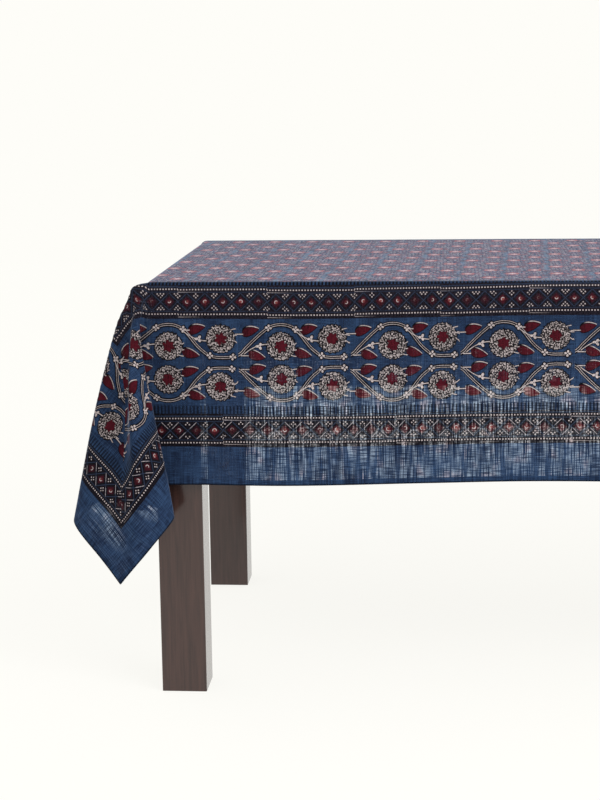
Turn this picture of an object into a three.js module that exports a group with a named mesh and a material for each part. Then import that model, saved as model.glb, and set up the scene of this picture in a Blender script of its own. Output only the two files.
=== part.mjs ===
import * as THREE from 'three';

// A rectangular cotton tablecloth draped over a plain square-legged dining table.
// Millimetres. The origin is on the floor under the middle of the table top, +X runs
// along the table, +Y to its back and +Z up.

// Table
const TOP_LENGTH = 1460;
const TOP_WIDTH = 782;
const TOP_HEIGHT = 758;
const TOP_THICKNESS = 28;
const TOP_EASE = 10; // radius on the long edges of the board
const TOP_CORNER = 2; // extra radius of the board's four corners, seen from above
const LEG_SIDE = 82.4;
const LEG_INSET = 8; // from the edges of the board to the outer faces of the legs
const LEG_EASE = 2;
const RAIL_DEPTH = 90;
const RAIL_THICKNESS = 22;
const RAIL_SETBACK = 4; // from the outer faces of the legs
const RAIL_EASE = 1.5;
const JOINT_GAP = 0.3; // between pieces that touch

// Cloth
const CLOTH_THICKNESS = 2;
const EDGE_CLEARANCE = 2; // between the cloth and the edge of the board
const ROLL_RADIUS = 9; // of the cloth's middle layer where it turns over the edge
const SIDE_DROP = 354; // cloth below the roll along the front
const BACK_DROP = 319; // and along the back, where the plain margin was cut narrower
const END_DROP = 406; // cloth below the roll at the two ends
const JOIN_FADE = 220; // how far a corner's flare runs along a drop

// Planes of the cloth's middle layer
const END_PLANE = TOP_LENGTH / 2 + EDGE_CLEARANCE + CLOTH_THICKNESS / 2;
const SIDE_PLANE = TOP_WIDTH / 2 + EDGE_CLEARANCE + CLOTH_THICKNESS / 2;
const CLOTH_LEVEL = TOP_HEIGHT + JOINT_GAP + CLOTH_THICKNESS / 2;
const FLAT_HALF_LENGTH = END_PLANE - ROLL_RADIUS;
const FLAT_HALF_WIDTH = SIDE_PLANE - ROLL_RADIUS;
const ROLL_ARC = ROLL_RADIUS * Math.PI / 2;
const END_CLOTH = END_DROP + ROLL_ARC;
const SIDE_CLOTH = SIDE_DROP + ROLL_ARC;

// The fold at a corner. Each row is one crease or ridge that runs down from the board's
// corner. turn is its place in the flat cloth, in degrees from the side drop round to the
// end drop, and bend is how far it runs out from the flat cloth at the board's corner. inEnd
// and inSide are its distances in from the planes of the end drop and the side drop, negative outside them,
// at each of FOLD_DEPTHS, which are measured along the cloth from the corner.
const FOLD_DEPTHS = [20, 100, 220, 430, 560];
const FOLD = [
  { crease: 'side join', turn: 0, bend: 9, inEnd: [9, 9, 9, 9], inSide: [-6, -9, -13, -16] },
  { crease: 'tuck back', turn: 9, bend: 12, inEnd: [-13, -37, -87, -112], inSide: [-5, -16, -16, -20] },
  { crease: 'tuck front', turn: 14, bend: 16, inEnd: [-14, -37, -89, -114], inSide: [-14, -21, -33, -38] },
  { crease: 'flap edge', turn: 27, bend: 22, inEnd: [-3, 13, 49, 67], inSide: [-36, -36, -48, -54] },
  { crease: 'front ridge', turn: 40, bend: 24, inEnd: [-15, -17, 0, -2], inSide: [-40, -78, -99, -107] },
  { crease: 'mitre', turn: 50, bend: 28, inEnd: [-22, -29, -42, -49], inSide: [-21, -33, -79, -92] },
  { crease: 'outer ridge', turn: 67, bend: 32, inEnd: [-50, -84, -129, -155], inSide: [-3, -7, -21, -26] },
  { crease: 'back ridge', turn: 78, bend: 24, inEnd: [-35, -53, -87, -106], inSide: [4, 15, 54, 77] },
  { crease: 'end tuck', turn: 86, bend: 14, inEnd: [-17, -23, -27, -35], inSide: [6, 7, 2, -2] },
  { crease: 'end join', turn: 90, bend: 9, inEnd: [-6, -9, -13, -16], inSide: [9, 9, 9, 9] },
];

// The four corners fall alike but not the same. overEnd is true where the flap folds over
// the end instead of over the long side, spread widens the fold in plan, and sway moves
// the tip of the fold along the end's outward direction, in millimetres. shoulder is the
// largest radius a crease turns down on, after it has run out level for the rest of its bend.
const CORNERS = [
  { x: -1, y: -1, overEnd: false, spread: 1, sway: 0, shoulder: 14 },
  { x: 1, y: -1, overEnd: true, spread: 0.94, sway: -6, shoulder: 16 },
  { x: -1, y: 1, overEnd: true, spread: 0.9, sway: 10, shoulder: 32 },
  { x: 1, y: 1, overEnd: false, spread: 0.97, sway: 4, shoulder: 32 },
];

// Slow waves of the four drops. at is the place along the drop from its middle, swing how
// far the hem stands out there, and lift how much higher it hangs.
const WAVES = {
  front: [
    { at: -500, swing: 3, lift: -2 },
    { at: -230, swing: -1, lift: 3 },
    { at: -80, swing: 3, lift: 8 },
    { at: 110, swing: 5, lift: 9 },
    { at: 330, swing: 0, lift: 5 },
    { at: 560, swing: 4, lift: 2 },
  ],
  back: [
    { at: -420, swing: 6, lift: 2 },
    { at: -120, swing: 0, lift: 4 },
    { at: 180, swing: 6, lift: 2 },
    { at: 470, swing: 1, lift: 3 },
  ],
  left: [
    { at: -110, swing: 5, lift: 2 },
    { at: 140, swing: 0, lift: 3 },
  ],
  right: [
    { at: -140, swing: 1, lift: 3 },
    { at: 120, swing: 6, lift: 1 },
  ],
};

// Fineness
const RING_STEP = 4; // between the rings of a corner's fold
const SPOKES = 90; // across a corner's fold
const CURVE_SAMPLES = 240;
const ROLL_PARTS = 3;
const DROP_PARTS = 13;
const DROP_EASE = 1.3; // over 1 sets the lines of a drop closer together near its top
const LENGTH_PARTS = 14;
const WIDTH_PARTS = 8;

// Materials
const cloth = new THREE.MeshStandardMaterial({ color: 0x2c4f80, roughness: 0.9, metalness: 0 });
const wood = new THREE.MeshStandardMaterial({ color: 0x483c36, roughness: 0.45, metalness: 0 });

// A smooth curve through knots, which starts level and ends straight.
function smoothValue(knots, values, at) {
  const spans = knots.slice(1).map((knot, i) => knot - knots[i]);
  const slopes = spans.map((span, i) => (values[i + 1] - values[i]) / span);
  const tangents = knots.map((knot, i) => {
    if (i === 0) return 0;
    if (i === spans.length) return slopes[i - 1];
    return (slopes[i - 1] * spans[i] + slopes[i] * spans[i - 1]) / (spans[i - 1] + spans[i]);
  });
  if (at <= knots[0]) return values[0];
  let i = 0;
  while (i < spans.length - 1 && at > knots[i + 1]) i += 1;
  const t = (at - knots[i]) / spans[i];
  const t2 = t * t;
  const t3 = t2 * t;
  return (2 * t3 - 3 * t2 + 1) * values[i] + (t3 - 2 * t2 + t) * spans[i] * tangents[i]
    + (3 * t2 - 2 * t3) * values[i + 1] + (t3 - t2) * spans[i] * tangents[i + 1];
}

// The creases of one corner, with its own spread, sway and side of fold.
function cornerCreases({ overEnd, spread, sway, shoulder }) {
  const deepest = FOLD_DEPTHS.at(-1);
  const rows = FOLD.map(({ turn, bend, inEnd, inSide }) => {
    const loose = Math.sin(turn * Math.PI / 90);
    const own = (list, push) => list.map((inward, i) => (
      ROLL_RADIUS + (inward - ROLL_RADIUS) * spread - push * loose * FOLD_DEPTHS[i + 1] / deepest
    ));
    const level = Math.max(bend - shoulder, 0);
    return { turn, bend, level, inEnd: own(inEnd, sway), inSide: own(inSide, 0) };
  });
  if (!overEnd) return rows;
  return rows.reverse().map(({ turn, bend, level, inEnd, inSide }) => (
    { turn: 90 - turn, bend, level, inEnd: inSide, inSide: inEnd }
  ));
}

// Where one crease lies in plan at a distance down the cloth: round the board's corner on
// its bend, then through the row's own places.
function creasePlace({ turn, bend, level, inEnd, inSide }, distance) {
  const angle = turn * Math.PI / 180;
  const radius = bend - level;
  const turned = Math.min(Math.max(distance - level, 0) / radius, Math.PI / 2);
  const roundCorner = Math.min(distance, level) + radius * Math.sin(turned);
  const place = (direction, row) => {
    const free = ROLL_RADIUS - bend * direction;
    const drift = [0, ...row.map((inward) => inward - free)];
    return ROLL_RADIUS - roundCorner * direction + smoothValue(FOLD_DEPTHS, drift, distance);
  };
  return new THREE.Vector3(place(Math.sin(angle), inEnd), place(Math.cos(angle), inSide), 0);
}

// One ring of a corner's fold: evenly spaced points on a curve through its creases.
function foldRing(creases, distance) {
  if (distance === 0) {
    return Array.from({ length: SPOKES + 1 }, () => new THREE.Vector3(ROLL_RADIUS, ROLL_RADIUS, 0));
  }
  const lead = Math.min(distance, 30) + 0.001;
  const places = creases.map((row) => creasePlace(row, distance));
  const before = places[0].clone().add(new THREE.Vector3(lead, 0, 0));
  const after = places.at(-1).clone().add(new THREE.Vector3(0, lead, 0));
  const curve = new THREE.CatmullRomCurve3([before, ...places, after], false, 'centripetal');
  const start = 1 / (places.length + 1);
  const dense = Array.from({ length: CURVE_SAMPLES + 1 }, (_, i) => (
    curve.getPoint(start + (1 - 2 * start) * i / CURVE_SAMPLES)
  ));
  const run = [0];
  for (let i = 1; i < dense.length; i += 1) run.push(run[i - 1] + dense[i].distanceTo(dense[i - 1]));
  let i = 1;
  return Array.from({ length: SPOKES + 1 }, (_, spoke) => {
    const wanted = run.at(-1) * spoke / SPOKES;
    while (i < CURVE_SAMPLES && run[i] < wanted) i += 1;
    return dense[i - 1].clone().lerp(dense[i], (wanted - run[i - 1]) / (run[i] - run[i - 1]));
  });
}

// All rings of a corner. Each point's z is its height below the flat cloth, from what the
// plan leaves of each step along the cloth.
function foldSurface(corner) {
  const creases = cornerCreases(corner);
  const count = Math.ceil(Math.hypot(END_CLOTH, SIDE_CLOTH) / RING_STEP) + 1;
  const rings = [];
  for (let k = 0; k <= count; k += 1) {
    const ring = foldRing(creases, k * RING_STEP);
    ring.forEach((point, spoke) => {
      if (k === 0) return;
      const above = rings[k - 1][spoke];
      const across = Math.hypot(point.x - above.x, point.y - above.y) / RING_STEP;
      point.z = above.z - RING_STEP * Math.sqrt(1 - Math.min(across * across, 0.98));
    });
    rings.push(ring);
  }
  return (pastEnd, pastSide) => {
    const ring = Math.min(Math.hypot(pastEnd, pastSide) / RING_STEP, count - 0.001);
    const spoke = Math.min(Math.atan2(pastEnd, pastSide) * 2 / Math.PI * SPOKES, SPOKES - 0.001);
    const [k, s] = [Math.floor(ring), Math.floor(spoke)];
    const near = rings[k][s].clone().lerp(rings[k][s + 1], spoke - s);
    const far = rings[k + 1][s].clone().lerp(rings[k + 1][s + 1], spoke - s);
    return near.lerp(far, ring - k);
  };
}

const folds = new Map(CORNERS.map((corner) => [`${corner.x},${corner.y}`, foldSurface(corner)]));

// The plain drop: in from its plane while it rolls over the edge, then straight down.
function plainDrop(past) {
  const angle = Math.min(past / ROLL_RADIUS, Math.PI / 2);
  const inward = ROLL_RADIUS * (1 - Math.sin(angle));
  const height = -ROLL_RADIUS * (1 - Math.cos(angle)) - Math.max(past - ROLL_ARC, 0);
  return { inward, height };
}

// The swing and lift of a drop's hem at a place along it.
function wave(rows, flatHalf, at) {
  const still = (place) => ({ at: place, swing: 0, lift: 0 });
  const all = [still(-flatHalf), still(-0.9 * flatHalf), ...rows, still(0.9 * flatHalf), still(flatHalf)];
  const column = (name) => smoothValue(all.map((row) => row.at), all.map((row) => row[name]), at);
  return { swing: column('swing'), lift: column('lift') };
}

// A point of a drop between its two corners, as its distance in from the drop's plane and
// its height. joins are the joining lines of the two corners' folds.
function dropPoint(past, total, at, flatHalf, rows, joins) {
  const plain = plainDrop(past);
  const { swing, lift } = wave(rows, flatHalf, at);
  const share = (past / total) ** 1.5;
  let inward = plain.inward - swing * share;
  let height = plain.height + lift * past / total;
  joins.forEach((join, i) => {
    const away = flatHalf + (i === 0 ? at : -at);
    const fade = Math.exp(-((away / JOIN_FADE) ** 2));
    inward += (join.inward - plain.inward) * fade;
    height += (join.height - plain.height) * fade;
  });
  return { inward, height };
}

// The middle layer of the cloth at a place in the flat cloth, counted from its centre.
function clothPoint(along, across) {
  const pastEnd = Math.abs(along) - FLAT_HALF_LENGTH;
  const pastSide = Math.abs(across) - FLAT_HALF_WIDTH;
  const [x, y] = [Math.sign(along), Math.sign(across)];
  if (pastEnd > 0 && pastSide > 0) {
    const fold = folds.get(`${x},${y}`)(pastEnd, pastSide);
    return [x * (END_PLANE - fold.x), y * (SIDE_PLANE - fold.y), CLOTH_LEVEL + fold.z];
  }
  if (pastSide > 0) {
    const joins = [-1, 1].map((end) => {
      const fold = folds.get(`${end},${y}`)(0, pastSide);
      return { inward: fold.y, height: fold.z };
    });
    const rows = y < 0 ? WAVES.front : WAVES.back;
    const drop = dropPoint(pastSide, SIDE_CLOTH, along, FLAT_HALF_LENGTH, rows, joins);
    return [along, y * (SIDE_PLANE - drop.inward), CLOTH_LEVEL + drop.height];
  }
  if (pastEnd > 0) {
    const joins = [-1, 1].map((side) => {
      const fold = folds.get(`${x},${side}`)(pastEnd, 0);
      return { inward: fold.x, height: fold.z };
    });
    const rows = x < 0 ? WAVES.left : WAVES.right;
    const drop = dropPoint(pastEnd, END_CLOTH, across, FLAT_HALF_WIDTH, rows, joins);
    return [x * (END_PLANE - drop.inward), across, CLOTH_LEVEL + drop.height];
  }
  return [along, across, CLOTH_LEVEL];
}

// Grid lines from hem to hem: close together in the rolls, wider down the drops, even on top.
// drops are the two lengths of cloth that hang, below the middle of the roll.
function gridLines(flatHalf, drops, topParts) {
  const [before, after] = drops.map((drop) => {
    const half = [];
    for (let i = 0; i < ROLL_PARTS; i += 1) half.push(flatHalf + ROLL_ARC * i / ROLL_PARTS);
    for (let i = 0; i <= DROP_PARTS; i += 1) {
      half.push(flatHalf + ROLL_ARC + drop * (i / DROP_PARTS) ** DROP_EASE);
    }
    return half;
  });
  const top = [];
  for (let i = 1; i < topParts; i += 1) top.push(flatHalf * (2 * i / topParts - 1));
  return [...before.map((place) => -place).reverse(), ...top, ...after];
}

// The cloth as one closed solid: both faces half a thickness from the middle layer, and
// the cut edge round the hem.
function clothGeometry() {
  const alongs = gridLines(FLAT_HALF_LENGTH, [END_DROP, END_DROP], LENGTH_PARTS);
  const acrosses = gridLines(FLAT_HALF_WIDTH, [SIDE_DROP, BACK_DROP], WIDTH_PARTS);
  const rows = acrosses.length;
  const middle = new THREE.BufferGeometry();
  const points = alongs.flatMap((along) => acrosses.flatMap((across) => clothPoint(along, across)));
  const faces = [];
  for (let i = 0; i < alongs.length - 1; i += 1) {
    for (let j = 0; j < rows - 1; j += 1) {
      const [a, b, c, d] = [i * rows + j, (i + 1) * rows + j, (i + 1) * rows + j + 1, i * rows + j + 1];
      const quadFaces = (alongs[i] + alongs[i + 1]) * (acrosses[j] + acrosses[j + 1]) > 0
        ? [[a, b, c], [a, c, d]]
        : [[a, b, d], [b, c, d]];
      faces.push(...quadFaces);
    }
  }
  middle.setAttribute('position', new THREE.Float32BufferAttribute(points, 3));
  middle.setIndex(faces.flat());
  middle.computeVertexNormals();
  const normals = middle.getAttribute('normal').array;
  const count = points.length / 3;
  const half = CLOTH_THICKNESS / 2;
  const upper = points.map((value, i) => value + half * normals[i]);
  const lower = points.map((value, i) => value - half * normals[i]);
  const solid = faces.flatMap(([a, b, c]) => [a, b, c, a + count, c + count, b + count]);
  const rim = [];
  for (let i = 0; i < alongs.length; i += 1) rim.push(i * rows);
  for (let j = 1; j < rows; j += 1) rim.push((alongs.length - 1) * rows + j);
  for (let i = alongs.length - 2; i >= 0; i -= 1) rim.push(i * rows + rows - 1);
  for (let j = rows - 2; j > 0; j -= 1) rim.push(j);
  rim.forEach((a, i) => {
    const b = rim[(i + 1) % rim.length];
    solid.push(a, a + count, b, b, a + count, b + count);
  });
  const geometry = new THREE.BufferGeometry();
  geometry.setAttribute('position', new THREE.Float32BufferAttribute([...upper, ...lower], 3));
  geometry.setIndex(solid);
  geometry.computeVertexNormals();
  return geometry;
}

// A rectangle seen from above with rounded corners.
function roundedRectangle(length, width, radius) {
  const [x, y] = [length / 2 - radius, width / 2 - radius];
  const shape = new THREE.Shape();
  shape.absarc(x, y, radius, 0, Math.PI / 2);
  shape.absarc(-x, y, radius, Math.PI / 2, Math.PI);
  shape.absarc(-x, -y, radius, Math.PI, 1.5 * Math.PI);
  shape.absarc(x, -y, radius, 1.5 * Math.PI, 2 * Math.PI);
  shape.closePath();
  return shape;
}

// The board, with its long edges rounded.
function boardGeometry() {
  const outline = roundedRectangle(TOP_LENGTH - 2 * TOP_EASE, TOP_WIDTH - 2 * TOP_EASE, TOP_CORNER);
  const board = new THREE.ExtrudeGeometry(outline, {
    depth: TOP_THICKNESS - 2 * TOP_EASE,
    bevelThickness: TOP_EASE,
    bevelSize: TOP_EASE,
    bevelSegments: 4,
    curveSegments: 3,
  });
  return board.translate(0, 0, TOP_HEIGHT - TOP_THICKNESS + TOP_EASE);
}

// A post of rounded section that stands on its lower end.
function postGeometry(length, width, height, ease) {
  const outline = roundedRectangle(length, width, ease);
  return new THREE.ExtrudeGeometry(outline, { depth: height, bevelEnabled: false, curveSegments: 2 });
}

const table = new THREE.Group();

function addMesh(name, geometry, material, x, y, z) {
  const mesh = new THREE.Mesh(geometry, material);
  mesh.name = name;
  mesh.position.set(x, y, z);
  table.add(mesh);
}

addMesh('tablecloth', clothGeometry(), cloth, 0, 0, 0);
addMesh('table_top', boardGeometry(), wood, 0, 0, 0);

const UNDER_TOP = TOP_HEIGHT - TOP_THICKNESS - JOINT_GAP;
const LEG_X = TOP_LENGTH / 2 - LEG_INSET - LEG_SIDE / 2;
const LEG_Y = TOP_WIDTH / 2 - LEG_INSET - LEG_SIDE / 2;
for (const [side, y] of [['front', -LEG_Y], ['back', LEG_Y]]) {
  for (const [end, x] of [['left', -LEG_X], ['right', LEG_X]]) {
    addMesh(`leg_${side}_${end}`, postGeometry(LEG_SIDE, LEG_SIDE, UNDER_TOP, LEG_EASE), wood, x, y, 0);
  }
}

const RAIL_Z = UNDER_TOP - RAIL_DEPTH;
const RAIL_IN = LEG_SIDE / 2 - RAIL_SETBACK - RAIL_THICKNESS / 2; // from a leg's middle
const LONG_RAIL = 2 * LEG_X - LEG_SIDE - 2 * JOINT_GAP;
const SHORT_RAIL = 2 * LEG_Y - LEG_SIDE - 2 * JOINT_GAP;
for (const [side, sign] of [['front', -1], ['back', 1]]) {
  const rail = postGeometry(LONG_RAIL, RAIL_THICKNESS, RAIL_DEPTH, RAIL_EASE);
  addMesh(`rail_${side}`, rail, wood, 0, sign * (LEG_Y + RAIL_IN), RAIL_Z);
}
for (const [end, sign] of [['left', -1], ['right', 1]]) {
  const rail = postGeometry(RAIL_THICKNESS, SHORT_RAIL, RAIL_DEPTH, RAIL_EASE);
  addMesh(`rail_${end}`, rail, wood, sign * (LEG_X + RAIL_IN), 0, RAIL_Z);
}

export default table;
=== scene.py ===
"""A block-printed cotton tablecloth on a dark dining table.

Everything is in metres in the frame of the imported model, except where a name or a comment
says millimetres: the cloth is cut, printed and draped in millimetres.
"""

import math

import bpy
import numpy as np
from mathutils import Matrix, Vector


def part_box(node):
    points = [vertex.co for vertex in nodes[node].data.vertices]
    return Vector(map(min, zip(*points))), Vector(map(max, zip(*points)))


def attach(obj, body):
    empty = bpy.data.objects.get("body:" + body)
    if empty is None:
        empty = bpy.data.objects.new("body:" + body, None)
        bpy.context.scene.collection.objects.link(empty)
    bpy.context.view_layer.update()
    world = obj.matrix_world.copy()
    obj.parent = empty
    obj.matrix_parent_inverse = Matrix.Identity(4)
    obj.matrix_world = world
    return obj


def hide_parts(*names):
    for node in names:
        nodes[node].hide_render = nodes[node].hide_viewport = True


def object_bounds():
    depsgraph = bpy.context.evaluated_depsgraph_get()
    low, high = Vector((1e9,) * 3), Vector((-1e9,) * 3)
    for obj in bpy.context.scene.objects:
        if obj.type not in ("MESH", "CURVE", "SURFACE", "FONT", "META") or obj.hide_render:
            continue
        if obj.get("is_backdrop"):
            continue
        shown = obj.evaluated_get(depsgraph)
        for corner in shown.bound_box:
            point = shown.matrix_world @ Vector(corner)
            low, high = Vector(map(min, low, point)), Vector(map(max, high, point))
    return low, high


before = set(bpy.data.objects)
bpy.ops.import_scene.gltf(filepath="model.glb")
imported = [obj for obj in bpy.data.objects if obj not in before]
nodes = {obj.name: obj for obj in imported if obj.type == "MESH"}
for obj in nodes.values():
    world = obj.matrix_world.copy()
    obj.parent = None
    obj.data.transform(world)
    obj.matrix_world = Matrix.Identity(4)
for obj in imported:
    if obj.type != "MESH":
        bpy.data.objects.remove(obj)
cad_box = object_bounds()


# Table: board, four rails and four legs.
# Plain hardwood, planed and sanded, stained espresso and sprayed with a satin lacquer.
# The stain leaves the grain faintly darker, and the lacquer mirrors the bright room softly.

WOOD_LIGHT = "#432c26"
WOOD_DARK = "#2c1b17"
GRAIN_WIDTH = 0.005  # between one dark line of the grain and the next
GRAIN_STRETCH = 22  # a line's length over its width


def srgb(code):
    """The linear colour of an sRGB hex code, with full alpha."""
    values = [int(code[i : i + 2], 16) / 255 for i in (1, 3, 5)]
    return tuple(v / 12.92 if v <= 0.04045 else ((v + 0.055) / 1.055) ** 2.4 for v in values) + (1.0,)


def add_node(tree, kind, inputs=(), out=0, **settings):
    """Adds a node with its settings, links or sets its inputs, and gives one of its outputs.

    The kind may be followed by the node's operation, as in "Math ADD".
    """
    kind, _, operation = kind.partition(" ")
    node = tree.nodes.new("ShaderNode" + kind)
    if operation:
        node.operation = operation
    for name, value in settings.items():
        setattr(node, name, value)
    pairs = inputs.items() if isinstance(inputs, dict) else enumerate(inputs)
    for key, value in pairs:
        if isinstance(value, bpy.types.NodeSocket):
            tree.links.new(value, node.inputs[key])
        elif value is not None:
            node.inputs[key].default_value = value
    return node.outputs[out] if node.outputs else node


def new_material(name):
    """A material with an empty node tree, and that tree."""
    material = bpy.data.materials.new(name)
    material.use_nodes = True
    material.node_tree.nodes.clear()
    return material, material.node_tree


def stained_wood(axis):
    """Espresso-stained hardwood whose grain runs along one axis: 0, 1 or 2."""
    material, tree = new_material(f"espresso stained hardwood {'xyz'[axis]}")
    place = add_node(tree, "TexCoord", out=3)
    scale = [1 / GRAIN_WIDTH] * 3
    scale[axis] /= GRAIN_STRETCH
    drawn = add_node(tree, "Mapping", {"Vector": place, "Scale": scale})
    grain = add_node(
        tree, "TexNoise", {"Vector": drawn, "Scale": 1.0, "Detail": 4.0, "Roughness": 0.6, "Distortion": 0.4}
    )
    pores = add_node(tree, "TexNoise", {"Vector": drawn, "Scale": 5.0, "Detail": 2.0})
    cloudy = add_node(tree, "TexNoise", {"Vector": place, "Scale": 6.0, "Detail": 2.0})
    depth = add_node(tree, "MapRange", [grain, 0.3, 0.72, 0.0, 1.0])
    shade = add_node(tree, "Math MULTIPLY_ADD", [cloudy, 0.6, depth])
    shade = add_node(tree, "MapRange", [shade, 0.15, 1.25, 0.0, 1.0])
    # a Mix node's share is input 0, its numbers are inputs 2 and 3, and its colours 6 and 7
    stain = {0: shade, 6: srgb(WOOD_LIGHT), 7: srgb(WOOD_DARK)}
    colour = add_node(tree, "Mix", stain, out=2, data_type="RGBA")
    pitted = add_node(tree, "Math ADD", [pores, grain])
    bump = add_node(tree, "Bump", {"Strength": 0.25, "Distance": 0.0004, "Height": pitted})
    roughness = add_node(tree, "MapRange", [grain, 0.2, 0.8, 0.36, 0.5])
    finish = {
        "Base Color": colour,
        "Roughness": roughness,
        "Normal": bump,
        "IOR": 1.5,
        "Specular IOR Level": 0.12,
        "Coat Weight": 1.0,
        "Coat Roughness": 0.14,
        "Coat IOR": 1.5,
    }
    shader = add_node(tree, "BsdfPrincipled", finish)
    add_node(tree, "OutputMaterial", [shader])
    return material


wood_by_axis = [stained_wood(axis) for axis in range(3)]
for name, node in nodes.items():
    if name == "tablecloth":
        continue
    low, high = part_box(name)
    longest = int(np.argmax(np.array(high) - np.array(low)))
    for slot in node.material_slots:
        slot.material = wood_by_axis[longest]


# Tablecloth: one piece of slub cotton with a narrow turned hem, 1471 by 2288 mm when flat.
# It lies flat on the board and falls over its four edges. At each corner the spare cloth
# hangs in a flap that is folded round to one side, with a tuck behind it.

# The board under the cloth and the cloth's own planes, in millimetres
TOP_LENGTH = 1460
TOP_WIDTH = 782
CLOTH_LEVEL = 759.3
PLANE_OUT = 3  # from the edge of the board to the middle of the hanging cloth
ROLL_RADIUS = 9
SIDE_DROP = 354
BACK_DROP = 319  # the cloth's plain margin was cut narrower along the back
END_DROP = 406
JOIN_FADE = 220  # how far a corner's flare runs along a drop

END_PLANE = TOP_LENGTH / 2 + PLANE_OUT
SIDE_PLANE = TOP_WIDTH / 2 + PLANE_OUT
FLAT_HALF_LENGTH = END_PLANE - ROLL_RADIUS
FLAT_HALF_WIDTH = SIDE_PLANE - ROLL_RADIUS
ROLL_ARC = ROLL_RADIUS * math.pi / 2
END_CLOTH = END_DROP + ROLL_ARC
SIDE_CLOTH = SIDE_DROP + ROLL_ARC
HALF_LENGTH = FLAT_HALF_LENGTH + END_CLOTH
HALF_WIDTH = FLAT_HALF_WIDTH + SIDE_CLOTH

# The fold at a corner: one row for each crease or ridge that runs down from the board's
# corner. turn is its place in the flat cloth, in degrees from the side drop round to the
# end drop, and bend is how far it comes out from the flat cloth before it hangs. in_end and
# in_side are its distances in from the planes of the two drops at each of FOLD_DEPTHS after
# the first, which are distances along the cloth.
FOLD_DEPTHS = [20, 100, 220, 430, 560]
FOLD = [
    # crease, turn, bend, in_end, in_side
    ("side join", 0, 9, [9, 9, 9, 9], [-6, -9, -13, -16]),
    ("tuck back", 9, 12, [-13, -37, -87, -112], [-5, -16, -16, -20]),
    ("tuck front", 14, 16, [-14, -37, -89, -114], [-14, -21, -33, -38]),
    ("flap edge", 27, 22, [-3, 13, 49, 67], [-36, -36, -48, -54]),
    ("front ridge", 40, 24, [-15, -17, 0, -2], [-40, -78, -99, -107]),
    ("mitre", 50, 28, [-22, -29, -42, -49], [-21, -33, -79, -92]),
    ("outer ridge", 67, 32, [-50, -84, -129, -155], [-3, -7, -21, -26]),
    ("back ridge", 78, 24, [-35, -53, -87, -106], [4, 15, 54, 77]),
    ("end tuck", 86, 14, [-17, -23, -27, -35], [6, 7, 2, -2]),
    ("end join", 90, 9, [-6, -9, -13, -16], [9, 9, 9, 9]),
]

# over_end is true where the flap folds over the end instead of over the long side, spread
# widens the fold in plan, and sway moves its tip along the end's outward direction. shoulder
# is the largest radius a crease turns down on, after it has run out level for its bend's rest.
CORNERS = {
    # (x, y): (over_end, spread, sway, shoulder)
    (-1, -1): (False, 1.0, 0, 14),
    (1, -1): (True, 0.94, -6, 16),
    (-1, 1): (True, 0.9, 10, 32),
    (1, 1): (False, 0.97, 4, 32),
}

# Slow waves of the four drops: place along the drop, how far the hem stands out there and
# how far the cloth has been pulled up.
WAVES = {
    "front": [(-500, 3, -2), (-230, -1, 3), (-80, 3, 8), (110, 5, 9), (330, 0, 5), (560, 4, 2)],
    "back": [(-420, 6, 2), (-120, 0, 4), (180, 6, 2), (470, 1, 3)],
    "left": [(-110, 5, 2), (140, 0, 3)],
    "right": [(-140, 1, 3), (120, 6, 1)],
}

SLIDE = 0.45  # of that pull goes over the board's edge, and the rest is in the hanging cloth

RING_STEP = 2.5  # between the rings of a corner's fold
SPOKES = 180  # across a corner's fold
DROP_CELL = 4.4  # of the sheet's grid where it hangs
TOP_CELL = 9.0  # and where it lies
CURVE_STEPS = 26  # of a ring's curve from one crease to the next
CURVE_LEAD = 30  # of that curve past its first and last creases
MOST_LEVEL = 0.98  # square of the largest share of a ring's step that runs level
WAVE_REACH = 0.9  # share of a drop's half length in which its waves lie


def smooth_value(knots, values, at):
    """A smooth curve through knots that starts level and ends straight."""
    knots, values, at = np.array(knots, float), np.array(values, float), np.asarray(at, float)
    spans = np.diff(knots)
    slopes = np.diff(values) / spans
    inner = (slopes[:-1] * spans[1:] + slopes[1:] * spans[:-1]) / (spans[:-1] + spans[1:])
    tangents = np.concatenate([[0.0], inner, [slopes[-1]]])
    i = np.clip(np.searchsorted(knots, at, side="left") - 1, 0, len(spans) - 1)
    t = np.maximum((at - knots[i]) / spans[i], 0)
    t2, t3 = t * t, t**3
    start = (2 * t3 - 3 * t2 + 1) * values[i] + (t3 - 2 * t2 + t) * spans[i] * tangents[i]
    end = (3 * t2 - 2 * t3) * values[i + 1] + (t3 - t2) * spans[i] * tangents[i + 1]
    return start + end


def corner_creases(over_end, spread, sway, shoulder):
    """The creases of one corner from its side drop on: (turn, bend, level, in_end, in_side)."""
    rows = []
    for _, turn, bend, in_end, in_side in FOLD:
        loose = math.sin(math.radians(2 * turn)) * np.array(FOLD_DEPTHS[1:]) / FOLD_DEPTHS[-1]
        end = ROLL_RADIUS + (np.array(in_end) - ROLL_RADIUS) * spread - sway * loose
        side = ROLL_RADIUS + (np.array(in_side) - ROLL_RADIUS) * spread
        rows.append((turn, bend, max(bend - shoulder, 0), end, side))
    if not over_end:
        return rows
    return [(90 - turn, bend, level, side, end) for turn, bend, level, end, side in reversed(rows)]


def crease_places(row, distances):
    """Where one crease lies in plan, in from the end's plane and the side's, at each distance."""
    turn, bend, level, in_end, in_side = row
    radius = bend - level
    turned = np.clip((distances - level) / radius, 0, math.pi / 2)
    round_corner = np.minimum(distances, level) + radius * np.sin(turned)
    places = []
    angle = math.radians(turn)
    for direction, inward in ((math.sin(angle), in_end), (math.cos(angle), in_side)):
        free = ROLL_RADIUS - bend * direction
        drift = smooth_value(FOLD_DEPTHS, [0, *(inward - free)], distances)
        places.append(ROLL_RADIUS - round_corner * direction + drift)
    return np.stack(places, axis=-1)


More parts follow.
